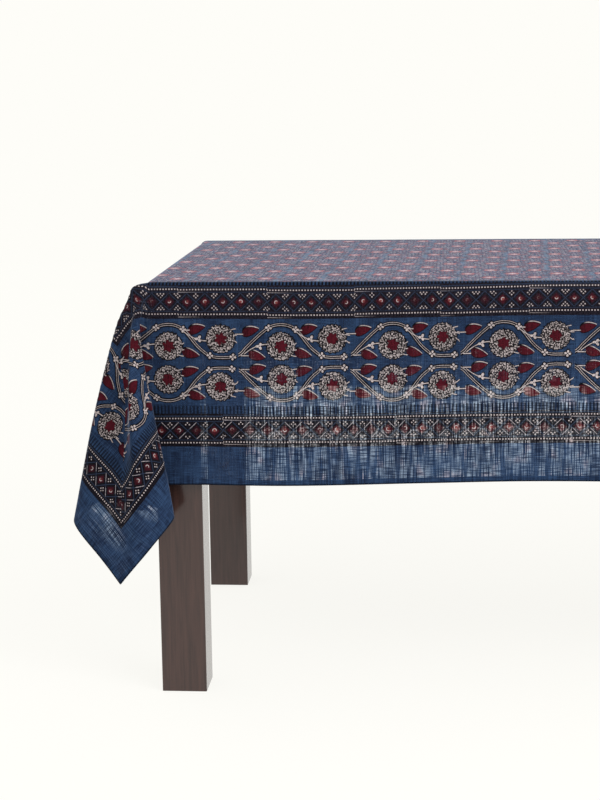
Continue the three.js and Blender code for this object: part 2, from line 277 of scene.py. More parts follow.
def curve_through(points, steps):
    """A centripetal Catmull-Rom curve through all but the first and last of the points."""
    knots = np.concatenate([[0], np.cumsum(np.linalg.norm(np.diff(points, axis=0), axis=1) ** 0.5)])
    stretches = []
    for i in range(1, len(points) - 2):
        p, t = points[i - 1 : i + 3], knots[i - 1 : i + 3]
        at = np.linspace(t[1], t[2], steps, endpoint=False)[:, None]
        a = [((t[k + 1] - at) * p[k] + (at - t[k]) * p[k + 1]) / (t[k + 1] - t[k]) for k in range(3)]
        b = [((t[k + 2] - at) * a[k] + (at - t[k]) * a[k + 1]) / (t[k + 2] - t[k]) for k in range(2)]
        stretches.append(((t[2] - at) * b[0] + (at - t[1]) * b[1]) / (t[2] - t[1]))
    stretches.append(points[-2][None])
    return np.concatenate(stretches)


def fold_table(over_end, spread, sway, shoulder):
    """The rings of one corner's fold, as (in from the end, in from the side, height)."""
    rows = corner_creases(over_end, spread, sway, shoulder)
    count = math.ceil(math.hypot(END_CLOTH, SIDE_CLOTH) / RING_STEP) + 2
    distances = np.arange(count) * RING_STEP
    places = np.stack([crease_places(row, distances) for row in rows], axis=1)
    table = np.full((count, SPOKES + 1, 3), float(ROLL_RADIUS))
    table[0, :, 2] = 0
    for k in range(1, count):
        lead = min(distances[k], CURVE_LEAD) + 0.001
        before, after = places[k, 0] + [lead, 0], places[k, -1] + [0, lead]
        dense = curve_through(np.vstack([before, places[k], after]), CURVE_STEPS)
        run = np.concatenate([[0], np.cumsum(np.linalg.norm(np.diff(dense, axis=0), axis=1))])
        wanted = np.linspace(0, run[-1], SPOKES + 1)
        table[k, :, 0] = np.interp(wanted, run, dense[:, 0])
        table[k, :, 1] = np.interp(wanted, run, dense[:, 1])
    across = np.linalg.norm(np.diff(table[:, :, :2], axis=0), axis=2) / RING_STEP
    falls = RING_STEP * np.sqrt(1 - np.minimum(across**2, MOST_LEVEL))
    table[1:, :, 2] = -np.cumsum(falls, axis=0)
    return table


fold_tables = {place: fold_table(*row) for place, row in CORNERS.items()}


def fold_point(place, past_end, past_side):
    """Points of a corner's fold at distances past the start of its two rolls."""
    table = fold_tables[place]
    ring = np.hypot(past_end, past_side) / RING_STEP
    spoke = np.arctan2(past_end, past_side) * 2 / math.pi * SPOKES
    k = np.minimum(ring.astype(int), table.shape[0] - 2)
    s = np.clip(spoke.astype(int), 0, SPOKES - 1)
    down, over = (ring - k)[..., None], (spoke - s)[..., None]
    near = table[k, s] * (1 - over) + table[k, s + 1] * over
    far = table[k + 1, s] * (1 - over) + table[k + 1, s + 1] * over
    return near * (1 - down) + far * down


def drop_points(past, total, at, flat_half, rows, joins):
    """A drop between its two corners, as distances in from its plane and heights."""
    angle = np.minimum(past / ROLL_RADIUS, math.pi / 2)
    inward = ROLL_RADIUS * (1 - np.sin(angle))
    height = -ROLL_RADIUS * (1 - np.cos(angle)) - np.maximum(past - ROLL_ARC, 0)
    ends = [(-flat_half, 0, 0), (-WAVE_REACH * flat_half, 0, 0)]
    knots = [*ends, *rows, *[(-place, 0, 0) for place, _, _ in reversed(ends)]]
    places, swings, lifts = zip(*knots)
    share = past / total
    plain_inward, plain_height = inward, height
    inward = inward - smooth_value(places, swings, at) * share**1.5
    height = height + smooth_value(places, lifts, at) * share * (1 - SLIDE)
    for sign, (join_inward, join_height) in joins:
        fade = np.exp(-(((flat_half + sign * at) / JOIN_FADE) ** 2))
        inward = inward + (join_inward - plain_inward) * fade
        height = height + (join_height - plain_height) * fade
    return inward, height


def pulled(place, flat_half, at, other_half, names):
    """Places along one direction after the cloth has been pulled over the edge of the board."""
    share = np.clip(np.abs(place) / flat_half, 0, 1)
    moved = place
    for sign, name in zip((-1, 1), names):
        spots, _, lifts = zip((-other_half, 0, 0), *WAVES[name], (other_half, 0, 0))
        lift = smooth_value(spots, lifts, np.clip(at, -other_half, other_half))
        lift = lift * SLIDE * share * share * (3 - 2 * share)
        moved = moved - np.where(place * sign > 0, sign * lift, 0)
    return moved


def draped(along, across):
    """The sheet's middle at places of the flat cloth, in millimetres from its centre."""
    along, across = np.broadcast_arrays(along, across)
    laid_along = pulled(along, FLAT_HALF_LENGTH, across, WAVE_REACH * FLAT_HALF_WIDTH, ("left", "right"))
    across = pulled(across, FLAT_HALF_WIDTH, along, WAVE_REACH * FLAT_HALF_LENGTH, ("front", "back"))
    along = laid_along
    points = np.stack([along, across, np.full(along.shape, CLOTH_LEVEL)], axis=-1).astype(float)
    past_end = np.abs(along) - FLAT_HALF_LENGTH
    past_side = np.abs(across) - FLAT_HALF_WIDTH
    for x, y in fold_tables:
        chosen = (past_end > 0) & (past_side > 0) & (along * x > 0) & (across * y > 0)
        fold = fold_point((x, y), past_end[chosen], past_side[chosen])
        columns = [x * (END_PLANE - fold[:, 0]), y * (SIDE_PLANE - fold[:, 1]), CLOTH_LEVEL + fold[:, 2]]
        points[chosen] = np.stack(columns, axis=-1)
    for y, name in ((-1, "front"), (1, "back")):
        chosen = (past_side > 0) & (past_end <= 0) & (across * y > 0)
        past, at = past_side[chosen], along[chosen]
        folds = [(x, fold_point((-x, y), 0 * past, past)) for x in (1, -1)]
        joins = [(sign, (fold[:, 1], fold[:, 2])) for sign, fold in folds]
        inward, height = drop_points(past, SIDE_CLOTH, at, FLAT_HALF_LENGTH, WAVES[name], joins)
        points[chosen] = np.stack([at, y * (SIDE_PLANE - inward), CLOTH_LEVEL + height], axis=-1)
    for x, name in ((-1, "left"), (1, "right")):
        chosen = (past_end > 0) & (past_side <= 0) & (along * x > 0)
        past, at = past_end[chosen], across[chosen]
        folds = [(y, fold_point((x, -y), past, 0 * past)) for y in (1, -1)]
        joins = [(sign, (fold[:, 0], fold[:, 2])) for sign, fold in folds]
        inward, height = drop_points(past, END_CLOTH, at, FLAT_HALF_WIDTH, WAVES[name], joins)
        points[chosen] = np.stack([x * (END_PLANE - inward), at, CLOTH_LEVEL + height], axis=-1)
    return points


# The hem: the edge is turned under and stitched, so the sheet runs round the edge and back
# up on its wrong side. The two directions lie at different depths where they cross.
HEM = 10
END_HEM_GAP = 1.1  # between the middles of the cloth and of its hem, at each end
SIDE_HEM_GAP = 1.6  # and along each side
HEM_LINES = [5, 9.3, HEM]  # the grid's last lines, from where the hem begins


def grid_lines(flat_half, drops):
    """Places of the grid's lines from hem to hem, given what hangs at each end."""
    lying = max(2, round(2 * flat_half / TOP_CELL))
    rolled = np.linspace(0, ROLL_ARC, 5)[:-1]
    halves = []
    for drop in drops:
        hanging = np.linspace(0, drop - HEM, round((drop - HEM) / DROP_CELL) + 1)
        hem = drop - HEM + np.array(HEM_LINES)
        halves.append(flat_half + np.concatenate([rolled, ROLL_ARC + hanging, ROLL_ARC + hem]))
    top = np.linspace(-flat_half, flat_half, lying + 1)[1:-1]
    return np.concatenate([-halves[0][::-1], top, halves[1]])


def turned(lines):
    """For each line of the sheet with its hems: which grid line it lies on, and how deep."""
    under = [3, 2, 1, 0]  # the grid lines of the cloth that is turned under, from its raw edge
    last = len(lines) - 1
    numbers = [*under, *range(last + 1), *(last - i for i in reversed(under))]
    depth = [1] * len(under) + [0] * (last + 1) + [1] * len(under)
    return np.array(numbers), np.array(depth)


alongs = grid_lines(FLAT_HALF_LENGTH, (END_DROP, END_DROP))
acrosses = grid_lines(FLAT_HALF_WIDTH, (SIDE_DROP, BACK_DROP))
middle = draped(alongs[:, None], acrosses[None, :])


def grid_normals(points):
    """Unit normals of a grid of points, on its upper and outer side."""
    normals = np.cross(np.gradient(points, axis=0), np.gradient(points, axis=1))
    return normals / np.linalg.norm(normals, axis=-1, keepdims=True)


normals = grid_normals(middle)
long_lines, long_depth = turned(alongs)
short_lines, short_depth = turned(acrosses)
depth = END_HEM_GAP * long_depth[:, None] + SIDE_HEM_GAP * short_depth[None, :]
picked = np.ix_(long_lines, short_lines)
sheet = (middle[picked] - normals[picked] * depth[..., None]) / 1000


def flat_places(lines, numbers, depths):
    """Places in the flat, unhemmed cloth: what is turned under runs on past the hem's edge."""
    places = lines[numbers]
    edges = np.where(places < 0, lines[0], lines[-1])
    return np.where(depths > 0, 2 * edges - places, places)


cut_along = flat_places(alongs, long_lines, long_depth)
cut_across = flat_places(acrosses, short_lines, short_depth)
CUT_LENGTH = cut_along[-1] - cut_along[0]
CUT_WIDTH = cut_across[-1] - cut_across[0]

columns, rows = sheet.shape[:2]
numbers = np.arange(columns * rows).reshape(columns, rows)
quads = [numbers[:-1, :-1], numbers[1:, :-1], numbers[1:, 1:], numbers[:-1, 1:]]
faces = np.stack(quads, axis=-1).reshape(-1, 4)
mesh = bpy.data.meshes.new("tablecloth_sheet")
mesh.from_pydata(sheet.reshape(-1, 3).tolist(), [], faces.tolist())
mesh.shade_smooth()
shares = ((cut_along - cut_along[0]) / CUT_LENGTH, (cut_across - cut_across[0]) / CUT_WIDTH)
flat = np.stack(np.meshgrid(*shares, indexing="ij"), axis=-1).reshape(-1, 2)
corner_vertices = np.empty(len(mesh.loops), dtype=np.int32)
mesh.loops.foreach_get("vertex_index", corner_vertices)
mesh.uv_layers.new(name="OFBake").uv.foreach_set("vector", flat[corner_vertices].astype(np.float32).ravel())
tablecloth = bpy.data.objects.new("tablecloth_sheet", mesh)
bpy.context.collection.objects.link(tablecloth)


# The print: wooden blocks, one for each colour, stamped side by side along the borders and
# over the middle: near-black outlines, madder red, and cream left by a resist on indigo.
# Each block below draws one repeat from its own real sizes, in millimetres.

INDIGO = "#304667"
INDIGO_DEEP = "#1d2942"
BLACK = "#0c0b10"
WORN_BLACK = "#24202a"
MADDER = "#5d1724"
MADDER_DARK = "#35111a"
CREAM = "#cdc0c1"
CORAL = "#c26b64"
SLATE = "#2e3a50"
PINK = "#e4d0d0"
ALLEY_SHEEN_BLUE = "#5f86a3"


def start_block(name, wanted, given):
    """Starts a node group for one printing block, with number inputs and outputs."""
    block = bpy.data.node_groups.new(name, "ShaderNodeTree")
    for label in wanted:
        block.interface.new_socket(label, in_out="INPUT", socket_type="NodeSocketFloat")
    for label in given:
        block.interface.new_socket(label, in_out="OUTPUT", socket_type="NodeSocketFloat")
    inputs = block.nodes.new("NodeGroupInput").outputs
    outputs = block.nodes.new("NodeGroupOutput").inputs
    return block, inputs, outputs


def end_block(block, marks, **inks):
    """Gives what a block has drawn to its outputs."""
    for label, ink in inks.items():
        block.links.new(ink, marks[label])


def polar(block, along, up):
    """A place's distance from a motif's centre, and its angle round it."""
    place = add_node(block, "CombineXYZ", [along, up])
    radius = add_node(block, "VectorMath LENGTH", [place], out=1)
    return radius, add_node(block, "Math ARCTAN2", [up, along])


# Flower head: a round of small cream pebbles about a madder star, on black.
FLOWER_RADIUS = 24.3
PEBBLE = 2.9  # from one pebble to the next
STAR_RADIUS = 9.4
STAR_POINTS = 6
SCALLOPS = 21
PEBBLE_SHIFT = (13.0, 7.0, 0)  # for each unit of turn, so that no two flowers have the same pebbles

flower, at, marks = start_block("flower block", ["along", "up", "turn"], ["cream", "red", "black"])
centred = add_node(flower, "CombineXYZ", [at["along"], at["up"]])
moved = add_node(flower, "CombineXYZ", [at["turn"], at["turn"]])
moved = add_node(flower, "VectorMath MULTIPLY_ADD", [moved, PEBBLE_SHIFT, centred])
radius, angle = polar(flower, at["along"], at["up"])
points = add_node(flower, "Math MULTIPLY_ADD", [angle, STAR_POINTS, at["turn"]])
points = add_node(flower, "Math COSINE", [points])
ragged = add_node(flower, "TexNoise", {"Vector": moved, "Scale": 0.26, "Detail": 1.0})
star = add_node(flower, "Math MULTIPLY_ADD", [points, 1.3, STAR_RADIUS - 4.0])
star = add_node(flower, "Math MULTIPLY_ADD", [ragged, 8.0, star])
inside = add_node(flower, "Math SUBTRACT", [radius, star])
red = add_node(flower, "MapRange", [inside, -0.5, 0.6, 1.0, 0.0])
scallops = add_node(flower, "Math MULTIPLY", [angle, SCALLOPS])
scallops = add_node(flower, "Math SINE", [scallops])
rim = add_node(flower, "Math MULTIPLY_ADD", [scallops, 0.6, FLOWER_RADIUS - 2.2])
rim = add_node(flower, "Math MULTIPLY_ADD", [ragged, 4.4, rim])
past_rim = add_node(flower, "Math SUBTRACT", [radius, rim])
head = add_node(flower, "MapRange", [past_rim, -0.3, 0.5, 1.0, 0.0])
outline = add_node(flower, "MapRange", [past_rim, 1.5, 2.6, 1.0, 0.0])
pebble_cells = {"Vector": moved, "Scale": 1 / PEBBLE, "Randomness": 0.95}
pebbles = add_node(flower, "TexVoronoi", pebble_cells, voronoi_dimensions="2D")
pebble_tone = add_node(flower, "SeparateColor", [pebbles.node.outputs["Color"]])
pebbles = add_node(flower, "MapRange", [pebbles, 0.32, 0.5, 1.0, 0.0])
pebble_tone = add_node(flower, "MapRange", [pebble_tone, 0.04, 0.7, 0.15, 1.0])
pebbles = add_node(flower, "Math MULTIPLY", [pebbles, pebble_tone])
cream = add_node(flower, "Math MULTIPLY", [pebbles, head])
outside_star = add_node(flower, "MapRange", [inside, 0.3, 1.2, 0.0, 1.0])
cream = add_node(flower, "Math MULTIPLY", [cream, outside_star])
end_block(flower, marks, cream=cream, red=red, black=outline)

# Leaf: a madder teardrop with its tip along the border, a black line round it and a cream
# crescent on the side that faces the middle of the cloth.
LEAF_LENGTH = 29.5
LEAF_WIDTH = 16.2
LEAF_LEAN = 0.24


def stroke(block, place, middle, full, none, ink=1.0, bare=0.0):
    """A line: ink within one distance of its middle, easing to bare cloth at another."""
    off = add_node(block, "Math SUBTRACT", [place, middle])
    off = add_node(block, "Math ABSOLUTE", [off])
    return add_node(block, "MapRange", [off, full, none, ink, bare])


leaf, at, marks = start_block("leaf block", ["along", "out", "lit"], ["cream", "red", "black"])
lean = add_node(leaf, "Math MULTIPLY_ADD", [at["along"], -LEAF_LEAN, at["out"]])
run = add_node(leaf, "MapRange", [at["along"], -LEAF_LENGTH / 2, LEAF_LENGTH / 2, 0.0, 1.0])
blunt = add_node(leaf, "Math POWER", [run, 0.45])
left = add_node(leaf, "Math SUBTRACT", [1.0, run])
sharp = add_node(leaf, "Math POWER", [left, 0.95])
half = add_node(leaf, "Math MULTIPLY", [blunt, sharp])
half = add_node(leaf, "Math MULTIPLY", [half, LEAF_WIDTH * 1.2])
off = add_node(leaf, "Math ABSOLUTE", [lean])
past = add_node(leaf, "Math SUBTRACT", [off, half])
red = add_node(leaf, "MapRange", [past, -1.0, 0.0, 1.0, 0.0])
thin_print = add_node(leaf, "MapRange", [run, 0.0, 0.5, 0.45, 1.0])
red = add_node(leaf, "Math MULTIPLY", [red, thin_print])
facing = add_node(leaf, "Math MULTIPLY", [lean, at["lit"]])
brim = add_node(leaf, "MapRange", [facing, -1.0, 1.0, 0.9, 3.0])
outline = add_node(leaf, "Math SUBTRACT", [past, brim])
outline = add_node(leaf, "MapRange", [outline, -0.4, 0.5, 1.0, 0.0])
crescent = add_node(leaf, "Math SUBTRACT", [facing, half])
crescent = stroke(leaf, crescent, 1.5, 0.4, 1.1)
towards_tip = add_node(leaf, "MapRange", [run, 0.22, 0.42, 0.0, 1.0])
within = add_node(leaf, "Math COMPARE", [run, 0.5, 0.499])
crescent = add_node(leaf, "Math MULTIPLY", [crescent, towards_tip])
crescent = add_node(leaf, "Math MULTIPLY", [crescent, within])
outline = add_node(leaf, "Math MULTIPLY", [outline, within])
end_block(leaf, marks, cream=crescent, red=red, black=outline)

# Vine: one repeat of a waving stem, drawn for the inner half of the floral border. The
# outer half is its mirror image. from_middle is the distance from the border's midline.
VINE_REPEAT = 197.1
VINE_HEIGHT = 78.0
BLOCK_EDGE = 77.0  # the block's left edge, before the middle of its arch
STEM_LINES = 1.7  # from the middle of the stem to each of its two cream lines
STEM = [
    # along, from the midline
    (-98.55, 9.0),
    (-84, 10),
    (-74, 13.5),
    (-60, 27),
    (-45, 42),
    (-30, 55.5),
    (-20, 62.5),
    (-8, 67),
    (5, 67.5),
    (16, 65),
    (27, 58.5),
    (35, 50),
    (44, 38),
    (53, 27),
    (63, 18),
    (72, 12),
    (82, 9.5),
    (98.55, 9.0),
]
KNOTS = [
    # first place along that the knot serves, its own place along, from the midline
    (-98.55, -85.5, 10),
    (-51, -21, 62),
    (3, 26.5, 59),
    (48, 72, 12.3),
    (93, 111.6, 10),
]
STALKS = [
    # place along, half its length, from the midline
    (-63, 7, 12.4),
    (31, 7, 57.5),
    (-73, 8, 50.5),
]
ARCH_FLOWER = (0.6, 29.3)  # under the arch of the stem: along, and from the midline
DIP_FLOWER = (90.8, 42.0)  # over its dip
BRANCH_START = (-65.0, 14.5)  # of the side shoot, from its flower's centre
BRANCH_END = (-24.0, -3.5)
FLOWER_TURN = 2.1  # between the two flowers of a repeat
TREFOIL = -38.0  # on the shoot, along from the flower's centre
EDGE_LEAF = (51.0, 57.5)  # by the border's edge, either side of the arch's middle
MIDLINE_LEAF = (40.5, 13.3)
LEAF_SLIP = -1.2  # of all four leaves along the border
LEAF_STAGGER = 1.7  # further from the midline past the arch's middle, and nearer before it
LEAF_DIVIDE = 36.0  # from the midline, between the two pairs of leaves
ARCH = (-76.0, 28.0)  # the stretch of the repeat that belongs to the arch's flower

vine, at, marks = start_block(
    "vine block", ["along", "from middle", "side", "turn"], ["cream", "red", "black"]
)
share = add_node(vine, "MapRange", [at["along"], -VINE_REPEAT / 2, VINE_REPEAT / 2, 0.0, 1.0])


def stem_height(tree, share_along):
    """The stem's distance from the midline at a share of the repeat."""
    height = add_node(tree, "FloatCurve", {"Value": share_along})
    curve = height.node.mapping.curves[0]
    spots = [((x + VINE_REPEAT / 2) / VINE_REPEAT, m / VINE_HEIGHT) for x, m in STEM]
    curve.points[0].location, curve.points[1].location = spots[0], spots[-1]
    for spot in spots[1:-1]:
        curve.points.new(*spot)
    height.node.mapping.update()
    return add_node(tree, "Math MULTIPLY", [height, VINE_HEIGHT])


STEP = 2.0  # over which the stem's slope is taken
height = stem_height(vine, share)
ahead = add_node(vine, "Math ADD", [share, STEP / VINE_REPEAT])
ahead = stem_height(vine, ahead)
slope = add_node(vine, "Math SUBTRACT", [ahead, height])
slope = add_node(vine, "Math MULTIPLY", [slope, 1 / STEP])
slope = add_node(vine, "Math MULTIPLY_ADD", [slope, slope, 1.0])
slope = add_node(vine, "Math SQRT", [slope])
off = add_node(vine, "Math SUBTRACT", [at["from middle"], height])
off = add_node(vine, "Math DIVIDE", [off, slope])
either_side = add_node(vine, "Math ABSOLUTE", [off])
stem_cream = stroke(vine, either_side, STEM_LINES, 0.15, 0.65)
stem_black = stroke(vine, off, -0.5, 3.7, 4.7)
join = stroke(vine, at["along"], -BLOCK_EDGE, 2.2, 3.6, 0.0, 1.0)
stem_cream = add_node(vine, "Math MULTIPLY", [stem_cream, join])
stem_black = add_node(vine, "Math MULTIPLY", [stem_black, join])

# the knot that is nearest along the border: four small cream petals with black between
spots = add_node(vine, "ValToRGB", [share])
ramp = spots.node.color_ramp
ramp.interpolation = "CONSTANT"
while len(ramp.elements) < len(KNOTS):
    ramp.elements.new(1.0)
for element, (first, x, m) in zip(ramp.elements, KNOTS):
    element.position = (first + VINE_REPEAT / 2) / VINE_REPEAT
    element.color = ((x + VINE_REPEAT) / (2 * VINE_REPEAT), m / VINE_HEIGHT, 0, 1)
spot = add_node(vine, "SeparateColor", [spots])
knot_up = spot.node.outputs[1]
knot_along = add_node(vine, "Math MULTIPLY_ADD", [spot, -2 * VINE_REPEAT, VINE_REPEAT])
knot_along = add_node(vine, "Math ADD", [at["along"], knot_along])
knot_up = add_node(vine, "Math MULTIPLY_ADD", [knot_up, -VINE_HEIGHT, at["from middle"]])
knot_radius, knot_angle = polar(vine, knot_along, knot_up)
lobes = add_node(vine, "Math MULTIPLY_ADD", [knot_angle, 4.0, 0.6])
lobes = add_node(vine, "Math COSINE", [lobes])
knot_edge = add_node(vine, "Math MULTIPLY_ADD", [lobes, -1.0, knot_radius])
knot_cream = add_node(vine, "MapRange", [knot_edge, 4.5, 5.3, 1.0, 0.0])
knot_black = add_node(vine, "MapRange", [knot_edge, 6.7, 7.8, 1.0, 0.0])
knot_gaps = add_node(vine, "Math MULTIPLY_ADD", [lobes, knot_radius, 3.6])
knot_gaps = add_node(vine, "MapRange", [knot_gaps, 1.8, 2.8, 0.0, 1.0])
knot_eye = add_node(vine, "MapRange", [knot_radius, 1.0, 1.7, 0.0, 1.0])
knot_cream = add_node(vine, "Math MULTIPLY", [knot_cream, knot_eye])
knot_cream = add_node(vine, "Math MULTIPLY", [knot_cream, knot_gaps])
off_knot = add_node(vine, "MapRange", [knot_edge, 5.6, 6.4, 0.0, 1.0])
stem_cream = add_node(vine, "Math MULTIPLY", [stem_cream, off_knot])

# which of the two flowers this place belongs to
past_arch = add_node(vine, "Math GREATER_THAN", [at["along"], ARCH[1]])
before_arch = add_node(vine, "Math LESS_THAN", [at["along"], ARCH[0]])
in_dip = add_node(vine, "Math ADD", [past_arch, before_arch])
arch_along = add_node(vine, "Math ADD", [at["along"], -ARCH_FLOWER[0]])
dip_shift = ARCH_FLOWER[0] - DIP_FLOWER[0]
shift = add_node(vine, "Math MULTIPLY_ADD", [in_dip, dip_shift, arch_along])
head_along = add_node(vine, "Math MULTIPLY_ADD", [before_arch, VINE_REPEAT, shift])
lift = ARCH_FLOWER[1] - DIP_FLOWER[1]
head_up = add_node(vine, "Math MULTIPLY_ADD", [in_dip, lift, at["from middle"]])
head_up = add_node(vine, "Math SUBTRACT", [head_up, ARCH_FLOWER[1]])
turn = add_node(vine, "Math MULTIPLY_ADD", [in_dip, FLOWER_TURN, at["turn"]])
bloom = add_node(vine, "Group", [head_along, head_up, turn], node_tree=flower).node.outputs

# the side shoot to that flower, with its trefoil, which swaps sides with the flower
facing = add_node(vine, "Math MULTIPLY_ADD", [in_dip, 2.0, -1.0])
shoot_up = add_node(vine, "Math MULTIPLY", [head_up, facing])
along_shoot = add_node(vine, "MapRange", [head_along, BRANCH_START[0], BRANCH_END[0], 0.0, 1.0])
eased = add_node(vine, "Math SUBTRACT", [2.0, along_shoot])
eased = add_node(vine, "Math MULTIPLY", [eased, along_shoot])
shoot_level = add_node(vine, "MapRange", [eased, 0.0, 1.0, BRANCH_START[1], BRANCH_END[1]])
on_shoot = add_node(vine, "Math COMPARE", [along_shoot, 0.5, 0.499])
shoot_cream = stroke(vine, shoot_up, shoot_level, 0.5, 1.1)
shoot_black = stroke(vine, shoot_up, shoot_level, 2.2, 3.0)
shoot_cream = add_node(vine, "Math MULTIPLY", [shoot_cream, on_shoot])
shoot_black = add_node(vine, "Math MULTIPLY", [shoot_black, on_shoot])
trefoil_along = add_node(vine, "Math SUBTRACT", [head_along, TREFOIL])
trefoil_radius, trefoil_angle = polar(vine, trefoil_along, shoot_up)
petals = add_node(vine, "Math MULTIPLY", [trefoil_angle, 3.0])
petals = add_node(vine, "Math COSINE", [petals])
petals = add_node(vine, "Math MULTIPLY_ADD", [petals, 2.2, trefoil_radius])
trefoil_cream = add_node(vine, "MapRange", [petals, 4.0, 4.8, 1.0, 0.0])
trefoil_black = add_node(vine, "MapRange", [petals, 6.0, 7.0, 1.0, 0.0])
trefoil_eye = add_node(vine, "MapRange", [trefoil_radius, 0.7, 1.3, 0.0, 1.0])
trefoil_cream = add_node(vine, "Math MULTIPLY", [trefoil_cream, trefoil_eye])

# short hair-like stamens on the flower's far side
head_radius, head_angle = polar(vine, head_along, shoot_up)
swept = add_node(vine, "Math MULTIPLY_ADD", [head_radius, 0.016, head_angle])
rays = add_node(vine, "Math MULTIPLY_ADD", [swept, 14.4, -9.8])
rays = add_node(vine, "Math COSINE", [rays])
hairs = add_node(vine, "MapRange", [rays, 0.86, 0.97, 0.0, 1.0])
shadows = add_node(vine, "MapRange", [rays, 0.50, 0.75, 0.0, 1.0])
forward = add_node(vine, "Math COMPARE", [head_angle, 0.24, 0.56])
reach = add_node(vine, "Math COMPARE", [head_radius, 28.0, 4.2])
forward = add_node(vine, "Math MULTIPLY", [forward, reach])
hairs = add_node(vine, "Math MULTIPLY", [hairs, forward])
shadows = add_node(vine, "Math MULTIPLY", [shadows, forward])

# the four leaves of the repeat, two by the midline and two by the border's edge
by_edge = add_node(vine, "Math GREATER_THAN", [at["from middle"], LEAF_DIVIDE])
way = add_node(vine, "Math SIGN", [at["along"]])
leaf_reach = EDGE_LEAF[0] - MIDLINE_LEAF[0]
leaf_reach = add_node(vine, "Math MULTIPLY_ADD", [by_edge, leaf_reach, MIDLINE_LEAF[0]])
leaf_along = add_node(vine, "Math MULTIPLY_ADD", [way, leaf_reach, LEAF_SLIP])
leaf_along = add_node(vine, "Math SUBTRACT", [at["along"], leaf_along])
leaf_level = add_node(vine, "Math MULTIPLY_ADD", [way, -LEAF_STAGGER, at["from middle"]])
leaf_rise = MIDLINE_LEAF[1] - EDGE_LEAF[1]
leaf_level = add_node(vine, "Math MULTIPLY_ADD", [by_edge, leaf_rise, leaf_level])
leaf_level = add_node(vine, "Math SUBTRACT", [leaf_level, MIDLINE_LEAF[1]])
outward = add_node(vine, "Math MULTIPLY_ADD", [by_edge, 2.0, -1.0])
leaf_out = add_node(vine, "Math MULTIPLY", [leaf_level, outward])
lit = add_node(vine, "Math MULTIPLY", [outward, at["side"]])
blade = add_node(vine, "Group", [leaf_along, leaf_out, lit], node_tree=leaf).node.outputs

cream_marks = [knot_cream, shoot_cream, trefoil_cream, hairs, blade["cream"], bloom["cream"]]
black_marks = [knot_black, shoot_black, trefoil_black, shadows, blade["black"], bloom["black"]]
for x, half_length, m in STALKS:
    on_stalk = add_node(vine, "Math COMPARE", [at["along"], x, half_length])
    for edge, drawn in ((0.5, cream_marks), (1.7, black_marks)):
        mark = stroke(vine, at["from middle"], m, edge, edge + 0.6)
        drawn.append(add_node(vine, "Math MULTIPLY", [mark, on_stalk]))
cream, black = stem_cream, stem_black
for mark in cream_marks:
    cream = add_node(vine, "Math MAXIMUM", [cream, mark])
for mark in black_marks:
    black = add_node(vine, "Math MAXIMUM", [black, mark])
red = add_node(vine, "Math MAXIMUM", [bloom["red"], blade["red"]])
end_block(vine, marks, cream=cream, red=red, black=black)

# Narrow border: a black band with a row of madder diamonds between crossed slate lines,
# pips in the spandrels, and a row of square dots along each edge. Beside the dots a cream
# line starts where a block has been set down, and dies away.
DIAMOND_REPEAT = 30.8
BAND_REPEAT = 5 * DIAMOND_REPEAT
BAND_HALF = 29.8
DIAMOND_HALF = 9.2
DOT_ROW = 21.9
DOT_REPEAT = BAND_REPEAT / 30
DOT_HALF = 1.1
PIP_ROW = 10.8
PIP_SPREAD = 3.2
PIP_RADIUS = 1.1
EDGE_LINE = 4.2  # beyond a row of dots, on the side that faces the hem
LATTICE_TOP = 15.0  # from the band's middle to where its crossed lines stop
INNER_STRIPE = 16.9
OUTER_STRIPE = 4.4  # beyond a row of dots, on the side that faces away from the hem

band_inputs = ["along", "off", "chance", "crossed", "set down", "joint"]
band, at, marks = start_block("band block", band_inputs, ["cream", "red", "slate", "coral"])
cell = add_node(band, "Math WRAP", [at["along"], DIAMOND_REPEAT / 2, -DIAMOND_REPEAT / 2])
sideways = add_node(band, "Math ABSOLUTE", [cell])
level = add_node(band, "Math ABSOLUTE", [at["off"]])
diamond = add_node(band, "Math ADD", [sideways, level])
red = add_node(band, "MapRange", [diamond, DIAMOND_HALF - 1.5, DIAMOND_HALF + 1.0, 1.0, 0.0])
faded = add_node(band, "MapRange", [at["chance"], 0.0, 1.0, 0.3, 0.8])
red = add_node(band, "Math MULTIPLY", [red, faded])
lattice = stroke(band, diamond, DIAMOND_REPEAT / 2, 0.5, 1.3)
within = add_node(band, "MapRange", [level, LATTICE_TOP - 0.4, LATTICE_TOP + 0.4, 1.0, 0.0])
lattice = add_node(band, "Math MULTIPLY", [lattice, within])
way = add_node(band, "Math SUBTRACT", [at["chance"], 0.3])
way = add_node(band, "Math MULTIPLY", [way, cell])
way = add_node(band, "Math MULTIPLY", [way, at["off"]])
falling = add_node(band, "Math GREATER_THAN", [way, 0.0])
broken = add_node(band, "MapRange", [level, 2.5, 4.5, 0.0, 1.0])
cross_line = stroke(band, diamond, DIAMOND_REPEAT / 2 - 0.4, 0.3, 0.9, 0.8)
cross = add_node(band, "Math LESS_THAN", [at["chance"], at["crossed"]])
for part in (falling, broken, cross_line, within):
    cross = add_node(band, "Math MULTIPLY", [cross, part])
inner_stripe = stroke(band, level, INNER_STRIPE, 0.5, 1.2, 0.6)
outer_stripe = stroke(band, at["off"], DOT_ROW + OUTER_STRIPE, 0.6, 1.6, 0.8)
slate = add_node(band, "Math MAXIMUM", [lattice, inner_stripe])
slate = add_node(band, "Math MAXIMUM", [slate, outer_stripe])
eye_place = add_node(band, "CombineXYZ", [cell, at["off"]])
eye_place = add_node(band, "VectorMath SUBTRACT", [eye_place, (0.3, 0.5, 0)])
eye_radius = add_node(band, "VectorMath LENGTH", [eye_place], out=1)
ring_size = add_node(band, "MapRange", [at["chance"], 0.0, 1.0, 2.2, 2.9])
ring_size = add_node(band, "Math MULTIPLY_ADD", [at["crossed"], 0.8, ring_size])
